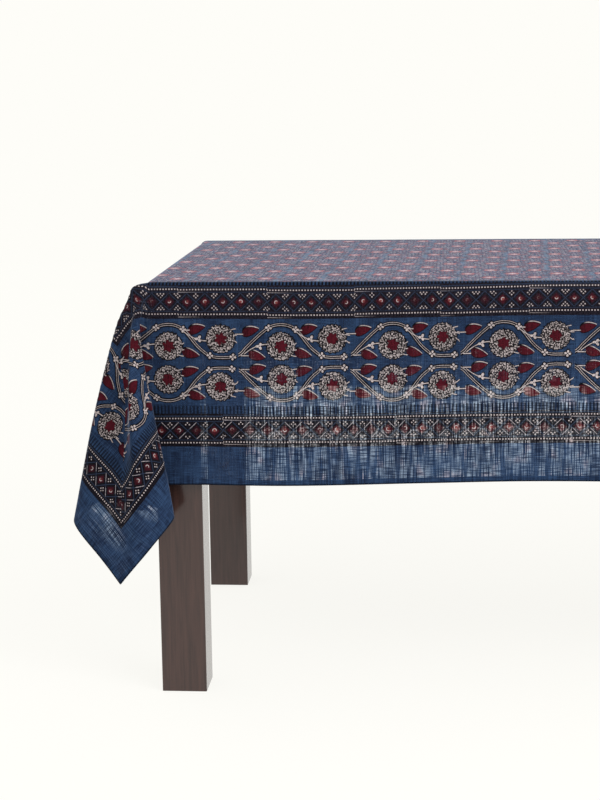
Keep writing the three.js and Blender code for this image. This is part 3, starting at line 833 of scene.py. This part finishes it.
ring = stroke(band, eye_radius, ring_size, 0.4, 0.9, 0.9)
eye_angle = add_node(band, "Math ARCTAN2", [at["off"], cell])
gap = add_node(band, "Math MULTIPLY_ADD", [at["chance"], 9.0, eye_angle])
gap = add_node(band, "Math COSINE", [gap])
gap = add_node(band, "MapRange", [gap, -0.3, 0.4, 1.0, 0.0])
ring_worn = add_node(band, "MapRange", [at["chance"], 0.12, 0.3, 0.15, 1.0])
gap = add_node(band, "Math MULTIPLY", [gap, ring_worn])
ring = add_node(band, "Math MULTIPLY", [ring, gap])
coral = add_node(band, "MapRange", [eye_radius, 1.6, 3.6, 0.45, 0.0])
bright = add_node(band, "MapRange", [at["chance"], 0.35, 0.8, 0.15, 1.0])
coral = add_node(band, "Math MULTIPLY", [coral, bright])
pip_along = add_node(band, "Math SUBTRACT", [DIAMOND_REPEAT / 2, sideways])
pip_up = add_node(band, "Math SUBTRACT", [level, PIP_ROW])
spandrel = add_node(band, "CombineXYZ", [pip_along, pip_up])
third_place = (1.75 * PIP_SPREAD, 0.9 * PIP_SPREAD, 0)
third = add_node(band, "VectorMath DISTANCE", [spandrel, third_place], out=1)
few = add_node(band, "Math GREATER_THAN", [at["chance"], 0.55])
few = add_node(band, "Math ADD", [few, at["crossed"]])
third = add_node(band, "Math MULTIPLY_ADD", [few, 9.0, third])
inner_pips = add_node(band, "Math ABSOLUTE", [pip_up])
outer_pip = add_node(band, "Math LESS_THAN", [at["chance"], 0.4])
pip_up = add_node(band, "Mix", {0: outer_pip, 2: inner_pips, 3: pip_up})
pip_place = add_node(band, "CombineXYZ", [pip_along, pip_up])
first = add_node(band, "VectorMath DISTANCE", [pip_place, (PIP_SPREAD, 0, 0)], out=1)
second = add_node(band, "VectorMath DISTANCE", [pip_place, (0, PIP_SPREAD, 0)], out=1)
pips = add_node(band, "Math MINIMUM", [first, second])
pips = add_node(band, "Math MINIMUM", [pips, third])
pips = add_node(band, "MapRange", [pips, PIP_RADIUS - 0.3, PIP_RADIUS + 0.4, 1.0, 0.0])
dot = add_node(band, "Math WRAP", [at["along"], DOT_REPEAT / 2, -DOT_REPEAT / 2])
dot = add_node(band, "Math ABSOLUTE", [dot])
dot_up = add_node(band, "Math SUBTRACT", [level, DOT_ROW])
dot_up = add_node(band, "Math ABSOLUTE", [dot_up])
dot = add_node(band, "Math MAXIMUM", [dot, dot_up])
dots = add_node(band, "MapRange", [dot, DOT_HALF - 0.3, DOT_HALF + 0.3, 1.0, 0.0])
edge_line = add_node(band, "Math MULTIPLY_ADD", [at["set down"], 0.008, at["off"]])
edge_line = add_node(band, "Math ADD", [edge_line, EDGE_LINE])
edge_line = add_node(band, "Math ABSOLUTE", [edge_line])
edge_line = stroke(band, edge_line, DOT_ROW, 0.25, 0.8, 0.7)
edge_end = add_node(band, "MapRange", [at["set down"], 8.0, 60.0, 1.0, 0.0])
edge_line = add_node(band, "Math MULTIPLY", [edge_line, edge_end])
joint = add_node(band, "MapRange", [at["set down"], 1.2, 2.4, 1.0, 0.0])
joint = add_node(band, "Math MULTIPLY", [joint, at["joint"]])
cream = ring
for mark in (pips, cross, dots, edge_line, joint):
    cream = add_node(band, "Math MAXIMUM", [cream, mark])
end_block(band, marks, cream=cream, red=red, slate=slate, coral=coral)

# Middle: small coral sprigs set in brickwork over a ground of fine curls.
SPRIG_REPEAT = 79.6
SPRIG_ROW = 56.7
SPRIG_START = (-523.0, -334.0)
SPRIG_LEAN = 0.048  # of the columns, which the printer set a little askew
SPRIG_HALF = (14.5, 18.0)
SPRIG_TAIL = (19.5, -5.0)  # a bud beside the sprig
TAIL_HALF = (5.0, 9.0)
CURL = 6.4
ALLEY = 22.5  # from a sprig to the blue alley beside it
ALLEY_HALF = 3.5

field_outputs = ["pale", "heart", "coral", "haze", "alley"]
field, at, marks = start_block("field block", ["along", "across"], field_outputs)
from_start = add_node(field, "Math ADD", [at["across"], -SPRIG_START[1]])
row = add_node(field, "Math MULTIPLY", [from_start, 1 / SPRIG_ROW])
row = add_node(field, "Math ROUND", [row])
up = add_node(field, "Math MULTIPLY_ADD", [row, -SPRIG_ROW, from_start])
odd = add_node(field, "Math FLOORED_MODULO", [row, 2.0])
column = add_node(field, "Math MULTIPLY_ADD", [from_start, -SPRIG_LEAN, at["along"]])
column = add_node(field, "Math ADD", [column, -SPRIG_START[0]])
along = add_node(field, "Math MULTIPLY_ADD", [odd, SPRIG_REPEAT / 2, column])
along = add_node(field, "Math WRAP", [along, SPRIG_REPEAT / 2, -SPRIG_REPEAT / 2])
place = add_node(field, "CombineXYZ", [along, up])
scaled = add_node(field, "VectorMath MULTIPLY", [place, (1 / SPRIG_HALF[0], 1 / SPRIG_HALF[1], 0)])
size = add_node(field, "VectorMath LENGTH", [scaled], out=1)
scaled_parts = add_node(field, "SeparateXYZ", [scaled]).node.outputs
angle = add_node(field, "Math ARCTAN2", [scaled_parts[1], scaled_parts[0]])
lobes = add_node(field, "Math MULTIPLY", [angle, 8.0])
lobes = add_node(field, "Math COSINE", [lobes])
size = add_node(field, "Math MULTIPLY_ADD", [lobes, -0.16, size])
coral = add_node(field, "MapRange", [size, 0.9, 1.0, 0.85, 0.0])
heart = add_node(field, "MapRange", [size, 0.34, 0.5, 0.9, 0.0])
tail = add_node(field, "VectorMath SUBTRACT", [place, (*SPRIG_TAIL, 0)])
tail = add_node(field, "VectorMath MULTIPLY", [tail, (1 / TAIL_HALF[0], 1 / TAIL_HALF[1], 0)])
tail = add_node(field, "VectorMath LENGTH", [tail], out=1)
tail = add_node(field, "MapRange", [tail, 0.6, 1.0, 0.5, 0.0])
coral = add_node(field, "Math MAXIMUM", [coral, tail])
everywhere = add_node(field, "CombineXYZ", [at["along"], at["across"]])
curl_cells = {"Vector": everywhere, "Scale": 1 / CURL, "Randomness": 0.75}
curls = add_node(field, "TexVoronoi", curl_cells, voronoi_dimensions="2D")
tone = add_node(field, "SeparateColor", [curls.node.outputs["Color"]])
ring = stroke(field, curls, 0.30, 0.05, 0.12)
bead = add_node(field, "MapRange", [curls, 0.06, 0.12, 0.8, 0.0])
ring = add_node(field, "Math MAXIMUM", [ring, bead])
clear = add_node(field, "MapRange", [size, 1.1, 1.25, 0.0, 1.0])
ring = add_node(field, "Math MULTIPLY", [ring, clear])
alley = add_node(field, "Math ADD", [column, -ALLEY])
alley = add_node(field, "Math WRAP", [alley, SPRIG_REPEAT / 2, -SPRIG_REPEAT / 2])
alley = stroke(field, alley, 0.0, ALLEY_HALF - 1.5, ALLEY_HALF + 3)
ground_ink = add_node(field, "MapRange", [alley, 0.0, 1.0, 1.0, 0.5])
ring = add_node(field, "Math MULTIPLY", [ring, ground_ink])
pink = add_node(field, "Math GREATER_THAN", [tone, 0.55])
haze = add_node(field, "Math MULTIPLY", [ring, pink])
pale = add_node(field, "Math SUBTRACT", [ring, haze])
end_block(field, marks, pale=pale, heart=heart, coral=coral, haze=haze, alley=alley)

# Printed slub cotton: a thin, loose plain weave of uneven yarns, dyed and printed, matt.
# Thick yarns close the cloth and thin ones leave it open, so light comes through in streaks.
OUTER_BAND = 99.8  # from the hem's edge to the middle of the outer black band
INNER_BAND = 329.0  # and of the inner one
FLORAL_MIDDLE = 221.0
FLORAL_EDGES = (128.5, 300.2)
FIELD_EDGE = 374.0
FIELD_EDGE_BACK = 383.0  # along the back
TICK_REPEAT = 6.3
TICK_LENGTH = 15.0  # of the comb of ticks beside each band
LONG_VINE_START = -692.6  # the middle of an arch on the long borders
SHORT_VINE_START = 44.5  # and on the short ones
INNER_BAND_START = -673.0 + DIAMOND_REPEAT / 2  # the middle of a diamond
OUTER_BAND_START = -599.0 + DIAMOND_REPEAT / 2
YARN = 1.6  # width of a drawn yarn; the real yarns, about 0.4 mm, are too fine to show
WARP_SLUB = 60.0  # how far a thick or thin stretch of yarn runs
WEFT_SLUB = 24.0
CLOSE_CORNER = (330.0, 520.0)  # from the cloth's corner point: closely woven, and loosely
STREAK = (9, 110)  # width and length of a loosely woven streak
PATCH = 26  # across a loosely or closely woven patch
OPENNESS = 0.47  # of the cloth where it is most open
GLOW = 0.3  # share of the light on a yarn that goes through it
DYED_LIGHT = 0.38  # share of the dye's colour in the light that comes between the yarns
DAYLIGHT = "#eefaf7"
WARM_LIGHT = "#e9b9b4"
SHEEN = "#c3d2f2"
BANDS_DIVIDE = 200.0  # from the hem's edge, between the outer and the inner border
DRIFT_MIDDLE = -440.0  # of the stretch where the blocks were set down further on
DRIFT_HALF = 235.0
DRIFT_SHIFT = -4.8
LOOSE_SPOTS = [
    # open places in the close corner: from the end and the side, and their half sizes
    ((50, 104), (26, 72)),
    ((132, 54), (18, 34)),
]

cotton, tree = new_material("block-printed slub cotton")
flat_place = add_node(tree, "UVMap", uv_map="OFBake")
in_millimetres = [flat_place, (CUT_LENGTH, CUT_WIDTH, 0), (cut_along[0], cut_across[0], 0)]
place = add_node(tree, "VectorMath MULTIPLY_ADD", in_millimetres)
parts = add_node(tree, "SeparateXYZ", [place]).node.outputs
u, v = parts[0], parts[1]
from_end = add_node(tree, "Math ABSOLUTE", [u])
from_end = add_node(tree, "Math SUBTRACT", [HALF_LENGTH, from_end])
from_side = add_node(tree, "Math ABSOLUTE", [v])
from_side = add_node(tree, "Math SUBTRACT", [HALF_WIDTH, from_side])
hem_distance = add_node(tree, "Math MINIMUM", [from_end, from_side])

# The printer works round the cloth, so each border runs to the right as seen from its hem.
on_long = add_node(tree, "Math LESS_THAN", [from_side, from_end])
long_way = add_node(tree, "Math SIGN", [v])
long_run = add_node(tree, "Math MULTIPLY", [u, long_way])
long_run = add_node(tree, "Math MULTIPLY", [long_run, -1.0])
short_way = add_node(tree, "Math SIGN", [u])
short_run = add_node(tree, "Math MULTIPLY", [v, short_way])
run = add_node(tree, "Mix", {0: on_long, 2: short_run, 3: long_run})
# along one stretch the blocks were set down a few millimetres further on
drift = add_node(tree, "Math MULTIPLY_ADD", [run, 1 / DRIFT_HALF, -DRIFT_MIDDLE / DRIFT_HALF])
drift = add_node(tree, "Math MULTIPLY", [drift, drift])
drift = add_node(tree, "MapRange", [drift, 0.0, 1.0, DRIFT_SHIFT, 0.0])
run = add_node(tree, "Math ADD", [run, drift])

# vine border
vine_starts = [on_long, SHORT_VINE_START - LONG_VINE_START, BLOCK_EDGE - SHORT_VINE_START]
vine_start = add_node(tree, "Math MULTIPLY_ADD", vine_starts)
vine_run = add_node(tree, "Math ADD", [run, vine_start])
vine_block = add_node(tree, "Math MULTIPLY", [vine_run, 1 / VINE_REPEAT])
vine_block = add_node(tree, "Math FLOOR", [vine_block])
off_middle = add_node(tree, "Math SUBTRACT", [hem_distance, FLORAL_MIDDLE])
side = add_node(tree, "Math SIGN", [off_middle])
stamp = add_node(tree, "CombineXYZ", [vine_block, side, on_long])
stamp = add_node(tree, "TexWhiteNoise", {"Vector": stamp}, out=1)
chance = add_node(tree, "SeparateColor", [stamp]).node.outputs
nudge = add_node(tree, "Math MULTIPLY_ADD", [chance[0], 2.0, -1.0])
from_middle = add_node(tree, "Math ABSOLUTE", [off_middle])
from_middle = add_node(tree, "Math ADD", [from_middle, nudge])
slip = add_node(tree, "Math MULTIPLY_ADD", [chance[1], 2.4, -1.2 - BLOCK_EDGE])
vine_along = add_node(tree, "Math ADD", [vine_run, slip])
vine_along = add_node(tree, "Math WRAP", [vine_along, VINE_REPEAT / 2, -VINE_REPEAT / 2])
turn = add_node(tree, "Math MULTIPLY", [chance[2], 6.28])
floral = add_node(tree, "Group", [vine_along, from_middle, side, turn], node_tree=vine).node.outputs
floral_span = [hem_distance, sum(FLORAL_EDGES) / 2, np.ptp(FLORAL_EDGES) / 2]
in_floral = add_node(tree, "Math COMPARE", floral_span)

# narrow borders
outer = add_node(tree, "Math LESS_THAN", [hem_distance, BANDS_DIVIDE])
band_starts = [outer, INNER_BAND_START - OUTER_BAND_START, -INNER_BAND_START]
band_start = add_node(tree, "Math MULTIPLY_ADD", band_starts)
band_run = add_node(tree, "Math ADD", [run, band_start])
band_block = add_node(tree, "Math MULTIPLY_ADD", [band_run, 1 / BAND_REPEAT, 0.1])
set_down = add_node(tree, "Math FRACT", [band_block])
band_block = add_node(tree, "Math FLOOR", [band_block])
band_stamp = add_node(tree, "CombineXYZ", [band_block, outer, on_long])
band_stamp = add_node(tree, "TexWhiteNoise", {"Vector": band_stamp}, out=1)
band_chance = add_node(tree, "SeparateColor", [band_stamp]).node.outputs
set_down = add_node(tree, "Math MULTIPLY", [set_down, BAND_REPEAT])
set_down_later = add_node(tree, "Math MULTIPLY_ADD", [band_chance[1], 50.0, set_down])
band_middle = add_node(tree, "Math MULTIPLY_ADD", [outer, OUTER_BAND - INNER_BAND, INNER_BAND])
band_off = add_node(tree, "Math SUBTRACT", [hem_distance, band_middle])
band_nudge = add_node(tree, "Math MULTIPLY_ADD", [band_chance[0], 3.0, -1.5])
band_tilt = add_node(tree, "Math MULTIPLY_ADD", [band_chance[2], 0.02, -0.01])
band_nudge = add_node(tree, "Math MULTIPLY_ADD", [set_down, band_tilt, band_nudge])
stamped_off = add_node(tree, "Math ADD", [band_off, band_nudge])
diamond_number = add_node(tree, "Math MULTIPLY_ADD", [band_run, 1 / DIAMOND_REPEAT, 0.5])
diamond_number = add_node(tree, "Math FLOOR", [diamond_number])
diamond_chance = add_node(tree, "CombineXYZ", [diamond_number, outer, on_long])
diamond_chance = add_node(tree, "TexWhiteNoise", {"Vector": diamond_chance})
crossed = add_node(tree, "Math MULTIPLY", [outer, 0.65])
joint_ink = add_node(tree, "TexNoise", {"Vector": place, "Scale": 0.3, "Detail": 2.0}, noise_dimensions="2D")
joint_ink = add_node(tree, "MapRange", [joint_ink, 0.5, 0.6, 0.0, 0.7])
stamped = [band_run, stamped_off, diamond_chance, crossed, set_down_later, joint_ink]
lattice = add_node(tree, "Group", stamped, node_tree=band).node.outputs
band_level = add_node(tree, "Math ABSOLUTE", [band_off])
in_band = add_node(tree, "MapRange", [band_level, BAND_HALF - 0.3, BAND_HALF + 0.3, 1.0, 0.0])

# ticks that comb from each band towards the middle of the cloth
tick = add_node(tree, "Math WRAP", [run, TICK_REPEAT / 2, -TICK_REPEAT / 2])
tick = stroke(tree, tick, 0.0, 1.2, 2.1)
tick_noise = add_node(tree, "TexNoise", {"Vector": place, "Scale": 0.18, "Detail": 1.0})
tick_end = add_node(tree, "Math MULTIPLY_ADD", [tick_noise, 5.0, BAND_HALF + TICK_LENGTH - 2.5])
tick_reach = add_node(tree, "Math SUBTRACT", [band_off, tick_end])
tick_reach = add_node(tree, "MapRange", [tick_reach, -2.0, 0.5, 1.0, 0.0])
tick_from = add_node(tree, "Math GREATER_THAN", [band_off, 0.0])
tick = add_node(tree, "Math MULTIPLY", [tick, tick_reach])
tick = add_node(tree, "Math MULTIPLY", [tick, tick_from])
tick_ink = add_node(tree, "Math MULTIPLY_ADD", [outer, -0.25, 1.0])

# middle field
sprigs = add_node(tree, "Group", [u, v], node_tree=field).node.outputs
at_back = add_node(tree, "Math GREATER_THAN", [v, 0.0])
at_back = add_node(tree, "Math MULTIPLY", [at_back, on_long])
field_edge = add_node(tree, "MapRange", [at_back, 0.0, 1.0, FIELD_EDGE, FIELD_EDGE_BACK])
in_field = add_node(tree, "Math GREATER_THAN", [hem_distance, field_edge])

# yarns
warp_place = add_node(tree, "VectorMath MULTIPLY", [place, (1 / YARN, 1 / WARP_SLUB, 0)])
warp = add_node(tree, "TexNoise", {"Vector": warp_place, "Scale": 1.0, "Detail": 1.5}, noise_dimensions="2D")
weft_place = add_node(tree, "VectorMath MULTIPLY", [place, (1 / WEFT_SLUB, 1 / YARN, 0)])
weft = add_node(tree, "TexNoise", {"Vector": weft_place, "Scale": 1.0, "Detail": 1.5}, noise_dimensions="2D")
weave = add_node(tree, "Math ADD", [warp, weft])
dye_cloud = {"Vector": place, "Scale": 0.02, "Detail": 2.0}
dye_patch = add_node(tree, "TexNoise", dye_cloud, noise_dimensions="2D")
wear = add_node(tree, "TexNoise", {"Vector": place, "Scale": 0.35, "Detail": 2.0}, noise_dimensions="2D")
wear = add_node(tree, "MapRange", [wear, 0.3, 0.55, 0.6, 1.0])

# colours, in the order they are printed, with a painted sheen of pale blue on the field's alleys among them
dye = add_node(tree, "Math ADD", [weave, dye_patch])
dye = add_node(tree, "MapRange", [dye, 1.15, 1.85, 0.0, 1.0])
colour = add_node(tree, "Mix", {0: dye, 6: srgb(INDIGO_DEEP), 7: srgb(INDIGO)}, out=2, data_type="RGBA")
reds = {0: tick_noise, 6: srgb(MADDER_DARK), 7: srgb(MADDER)}
madder = add_node(tree, "Mix", reds, out=2, data_type="RGBA")
faded = add_node(tree, "Math MULTIPLY_ADD", [outer, -0.6, 1.0])
faded = add_node(tree, "MapRange", [wear, 0.65, 1.0, 0.0, faded])
band_black = add_node(tree, "Mix", {0: faded, 6: srgb(BLACK), 7: srgb(WORN_BLACK)}, out=2, data_type="RGBA")
band_coral = add_node(tree, "Math MULTIPLY", [lattice["coral"], 0.8])
field_haze = add_node(tree, "Math MULTIPLY", [sprigs["haze"], 0.6])
# painted sheen: pale blue laid over the bare alleys of the field for light glancing off the indigo, stronger
# in some places than others
alley_sheen_fade = add_node(tree, "MapRange", [dye_patch, 0.42, 0.6, 0.0, 0.65])
alley_painted_sheen = add_node(tree, "Math MULTIPLY", [sprigs["alley"], alley_sheen_fade])
printed = [
    # where it is printed, the block's mark, the ink
    (in_floral, floral["black"], srgb(BLACK)),
    (tick, tick_ink, srgb(BLACK)),
    (in_band, 1.0, band_black),
    (in_band, lattice["slate"], srgb(SLATE)),
    (in_field, field_haze, srgb(CORAL)),
    # painted sheen, not an ink: the pale blue on the alleys
    (in_field, alley_painted_sheen, srgb(ALLEY_SHEEN_BLUE)),
    (in_field, sprigs["coral"], srgb(CORAL)),
    (in_floral, floral["red"], madder),
    (in_band, lattice["red"], madder),
    (in_band, band_coral, srgb(CORAL)),
    (in_floral, floral["cream"], srgb(CREAM)),
    (in_band, lattice["cream"], srgb(CREAM)),
    (in_field, sprigs["pale"], srgb(CREAM)),
    (in_field, sprigs["heart"], srgb(PINK)),
]
for where, mark, ink in printed:
    cover = add_node(tree, "Math MULTIPLY", [where, mark])
    if ink == srgb(CREAM):
        cover = add_node(tree, "Math MULTIPLY", [cover, wear])
    colour = add_node(tree, "Mix", {0: cover, 6: colour, 7: ink}, out=2, data_type="RGBA")
yarn_tone_and_hem_shade = add_node(tree, "MapRange", [weave, 0.7, 1.3, 0.8, 1.16])
# painted shade: the colour darkens to a quarter at the hem's folded edge and on the cloth turned under it,
# easing off between 1.8 and 3.4 mm from the edge
to_back = add_node(tree, "Math SUBTRACT", [acrosses[-1], v])
to_edge = add_node(tree, "Math MINIMUM", [hem_distance, to_back])
hem_edge_painted_shade = add_node(tree, "MapRange", [to_edge, 1.8, 3.4, 0.25, 1.0])
yarn_tone_and_hem_shade = add_node(tree, "Math MULTIPLY", [yarn_tone_and_hem_shade, hem_edge_painted_shade])
colour = add_node(tree, "VectorMath SCALE", {0: colour, 3: yarn_tone_and_hem_shade})

# openness of the weave, none in the hem, where the cloth lies three deep
warp_open = add_node(tree, "MapRange", [warp, 0.44, 0.58, 0.0, 1.0])
weft_open = add_node(tree, "MapRange", [weft, 0.40, 0.56, 0.15, 1.0])
stripes = add_node(tree, "VectorMath MULTIPLY", [place, (1 / STREAK[0], 1 / STREAK[1], 0)])
stripes = add_node(tree, "TexNoise", {"Vector": stripes, "Scale": 1.0, "Detail": 1.0}, noise_dimensions="2D")
stripes = add_node(tree, "MapRange", [stripes, 0.35, 0.45, 0.15, 1.0])
patchy = {"Vector": place, "Scale": 1 / PATCH, "Detail": 1.0}
patches = add_node(tree, "TexNoise", patchy, noise_dimensions="2D")
warm = add_node(tree, "MapRange", [patches, 0.57, 0.75, 0.0, 0.4])
patches = add_node(tree, "MapRange", [patches, 0.35, 0.65, 0.55, 1.25])
corner_place = add_node(tree, "CombineXYZ", [from_end, from_side])
corner = add_node(tree, "VectorMath LENGTH", [corner_place], out=1)
corner = add_node(tree, "MapRange", [corner, *CLOSE_CORNER, 0.0, 1.0])
for spot, spread in LOOSE_SPOTS:
    open_spot = add_node(tree, "VectorMath SUBTRACT", [corner_place, (*spot, 0)])
    open_spot = add_node(tree, "VectorMath MULTIPLY", [open_spot, (1 / spread[0], 1 / spread[1], 0)])
    open_spot = add_node(tree, "VectorMath LENGTH", [open_spot], out=1)
    open_spot = add_node(tree, "MapRange", [open_spot, 0.4, 1.0, 0.9, 0.06])
    corner = add_node(tree, "Math MAXIMUM", [corner, open_spot])
in_hem = add_node(tree, "MapRange", [to_edge, HEM - 0.5, HEM + 0.5, 0.0, 1.0])
inked = stroke(tree, band_level, DOT_ROW, 2.5, 4.5, 0.45, 0.9)
comb_middle = OUTER_BAND + BAND_HALF + TICK_LENGTH / 2
combed = stroke(tree, hem_distance, comb_middle, TICK_LENGTH / 2, TICK_LENGTH, 1.7, 1.0)
between_ticks = add_node(tree, "Math MULTIPLY_ADD", [tick, -0.85, 1.0])
clogged = add_node(tree, "TexNoise", {"Vector": place, "Scale": 0.24, "Detail": 1.0}, noise_dimensions="2D")
clogged = add_node(tree, "MapRange", [clogged, 0.42, 0.56, -0.6, 0.6])
clogged = add_node(tree, "Math MULTIPLY_ADD", [clogged, in_band, 1.0])
openness = add_node(tree, "Math MULTIPLY", [warp_open, OPENNESS])
for share in (weft_open, stripes, patches, corner, in_hem, inked, combed, between_ticks, clogged):
    openness = add_node(tree, "Math MULTIPLY", [openness, share])

bump = add_node(tree, "Bump", {"Strength": 0.35, "Distance": 0.0006, "Height": weave})
cloth_finish = {
    "Base Color": colour,
    "Roughness": 0.85,
    "IOR": 1.45,
    "Specular IOR Level": 0.06,
    "Sheen Weight": 0.5,
    "Sheen Roughness": 0.3,
    "Sheen Tint": srgb(SHEEN),
    "Normal": bump,
}
solid = add_node(tree, "BsdfPrincipled", cloth_finish)
glow = add_node(tree, "BsdfTranslucent", {"Color": colour, "Normal": bump})
dense = add_node(tree, "MixShader", [GLOW, solid, glow])
dyed = add_node(tree, "VectorMath NORMALIZE", [colour])
passing = add_node(tree, "Mix", {0: DYED_LIGHT, 6: srgb(DAYLIGHT), 7: dyed}, out=2, data_type="RGBA")
passing = add_node(tree, "Mix", {0: warm, 6: passing, 7: srgb(WARM_LIGHT)}, out=2, data_type="RGBA")
clear = add_node(tree, "BsdfTransparent", [passing])
shader = add_node(tree, "MixShader", [openness, dense, clear])
add_node(tree, "OutputMaterial", [shader])
mesh.materials.append(cotton)

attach(tablecloth, "root")
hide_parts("tablecloth")


# Studio: a wide pale floor under an even, nearly white light, with one large soft lamp.

bpy.context.scene.view_settings.view_transform = "Standard"

FLOOR_SIZE = 14.0
FLOOR_LEVEL = -0.001
FLOOR_GREY = "#5c5c5c"
FLOOR_GLOW = 0.892
STUDIO_WHITE = "#fefdf8"
LAMP_PLACE = (1.9, -2.4, 2.3)
LAMP_AIM = (0, 0, 0.5)
LAMP_SIZE = (2.4, 1.6)
LAMP_POWER = 90  # watts
floor_mesh = bpy.data.meshes.new("studio_floor")
floor_half = FLOOR_SIZE / 2
signs = [(-1, -1), (1, -1), (1, 1), (-1, 1)]
floor_corners = [(x * floor_half, y * floor_half, FLOOR_LEVEL) for x, y in signs]
floor_mesh.from_pydata(floor_corners, [], [(0, 1, 2, 3)])
floor = bpy.data.objects.new("studio_floor", floor_mesh)
bpy.context.collection.objects.link(floor)
# White acrylic with a frosted face, lit from below, so that it hardly shows a shadow.
acrylic, tree = new_material("lit white acrylic floor")
grit = add_node(tree, "TexNoise", {"Scale": 900.0, "Detail": 2.0})
frost_bump = add_node(tree, "Bump", {"Strength": 0.05, "Distance": 0.0005, "Height": grit})
frost = {
    "Base Color": srgb(FLOOR_GREY),
    "Roughness": 0.9,
    "Specular IOR Level": 0.0,
    "Emission Color": srgb(STUDIO_WHITE),
    "Emission Strength": FLOOR_GLOW,
    "Normal": frost_bump,
}
shader = add_node(tree, "BsdfPrincipled", frost)
add_node(tree, "OutputMaterial", [shader])
floor_mesh.materials.append(acrylic)
floor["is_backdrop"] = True

world = bpy.data.worlds.new("studio")
bpy.context.scene.world = world
world.use_nodes = True
background = world.node_tree.nodes["Background"]
background.inputs["Color"].default_value = srgb(STUDIO_WHITE)
background.inputs["Strength"].default_value = 1.0

lamp_data = bpy.data.lights.new("soft_lamp", "AREA")
lamp_data.shape = "RECTANGLE"
lamp_data.size, lamp_data.size_y = LAMP_SIZE
lamp_data.energy = LAMP_POWER
lamp = bpy.data.objects.new("soft_lamp", lamp_data)
bpy.context.collection.objects.link(lamp)
lamp.location = LAMP_PLACE
lamp.rotation_euler = (Vector(LAMP_AIM) - lamp.location).to_track_quat("-Z", "Y").to_euler()

# Camera: a little above the table, square on to its long side, with its left end in view.
CAMERA_PLACE = Vector((-0.2020, -3.4522, 1.1230))
CAMERA_TURN = math.radians(-4.805)
CAMERA_DIP = math.radians(10.585)
CAMERA_ROLL = math.radians(0.776)
CAMERA_LENS = 105.65
SENSOR_WIDTH = 36.0

camera_data = bpy.data.cameras.new("camera")
camera_data.sensor_fit = "HORIZONTAL"
camera_data.sensor_width = SENSOR_WIDTH
camera_data.lens = CAMERA_LENS
camera = bpy.data.objects.new("camera", camera_data)
bpy.context.collection.objects.link(camera)
ahead = Vector(
    (
        math.sin(CAMERA_TURN) * math.cos(CAMERA_DIP),
        math.cos(CAMERA_TURN) * math.cos(CAMERA_DIP),
        -math.sin(CAMERA_DIP),
    )
)
right = Vector((math.cos(CAMERA_TURN), -math.sin(CAMERA_TURN), 0))
down = ahead.cross(right)
rolled_right = math.cos(CAMERA_ROLL) * right + math.sin(CAMERA_ROLL) * down
rolled_down = math.cos(CAMERA_ROLL) * down - math.sin(CAMERA_ROLL) * right
axes = Matrix((rolled_right, -rolled_down, -ahead)).transposed()
camera.matrix_world = Matrix.Translation(CAMERA_PLACE) @ axes.to_4x4()
bpy.context.scene.camera = camera

boxes = {"cad": cad_box, "visual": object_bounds()}
boxes = {name: np.array([list(corner) for corner in box]).tolist() for name, box in boxes.items()}
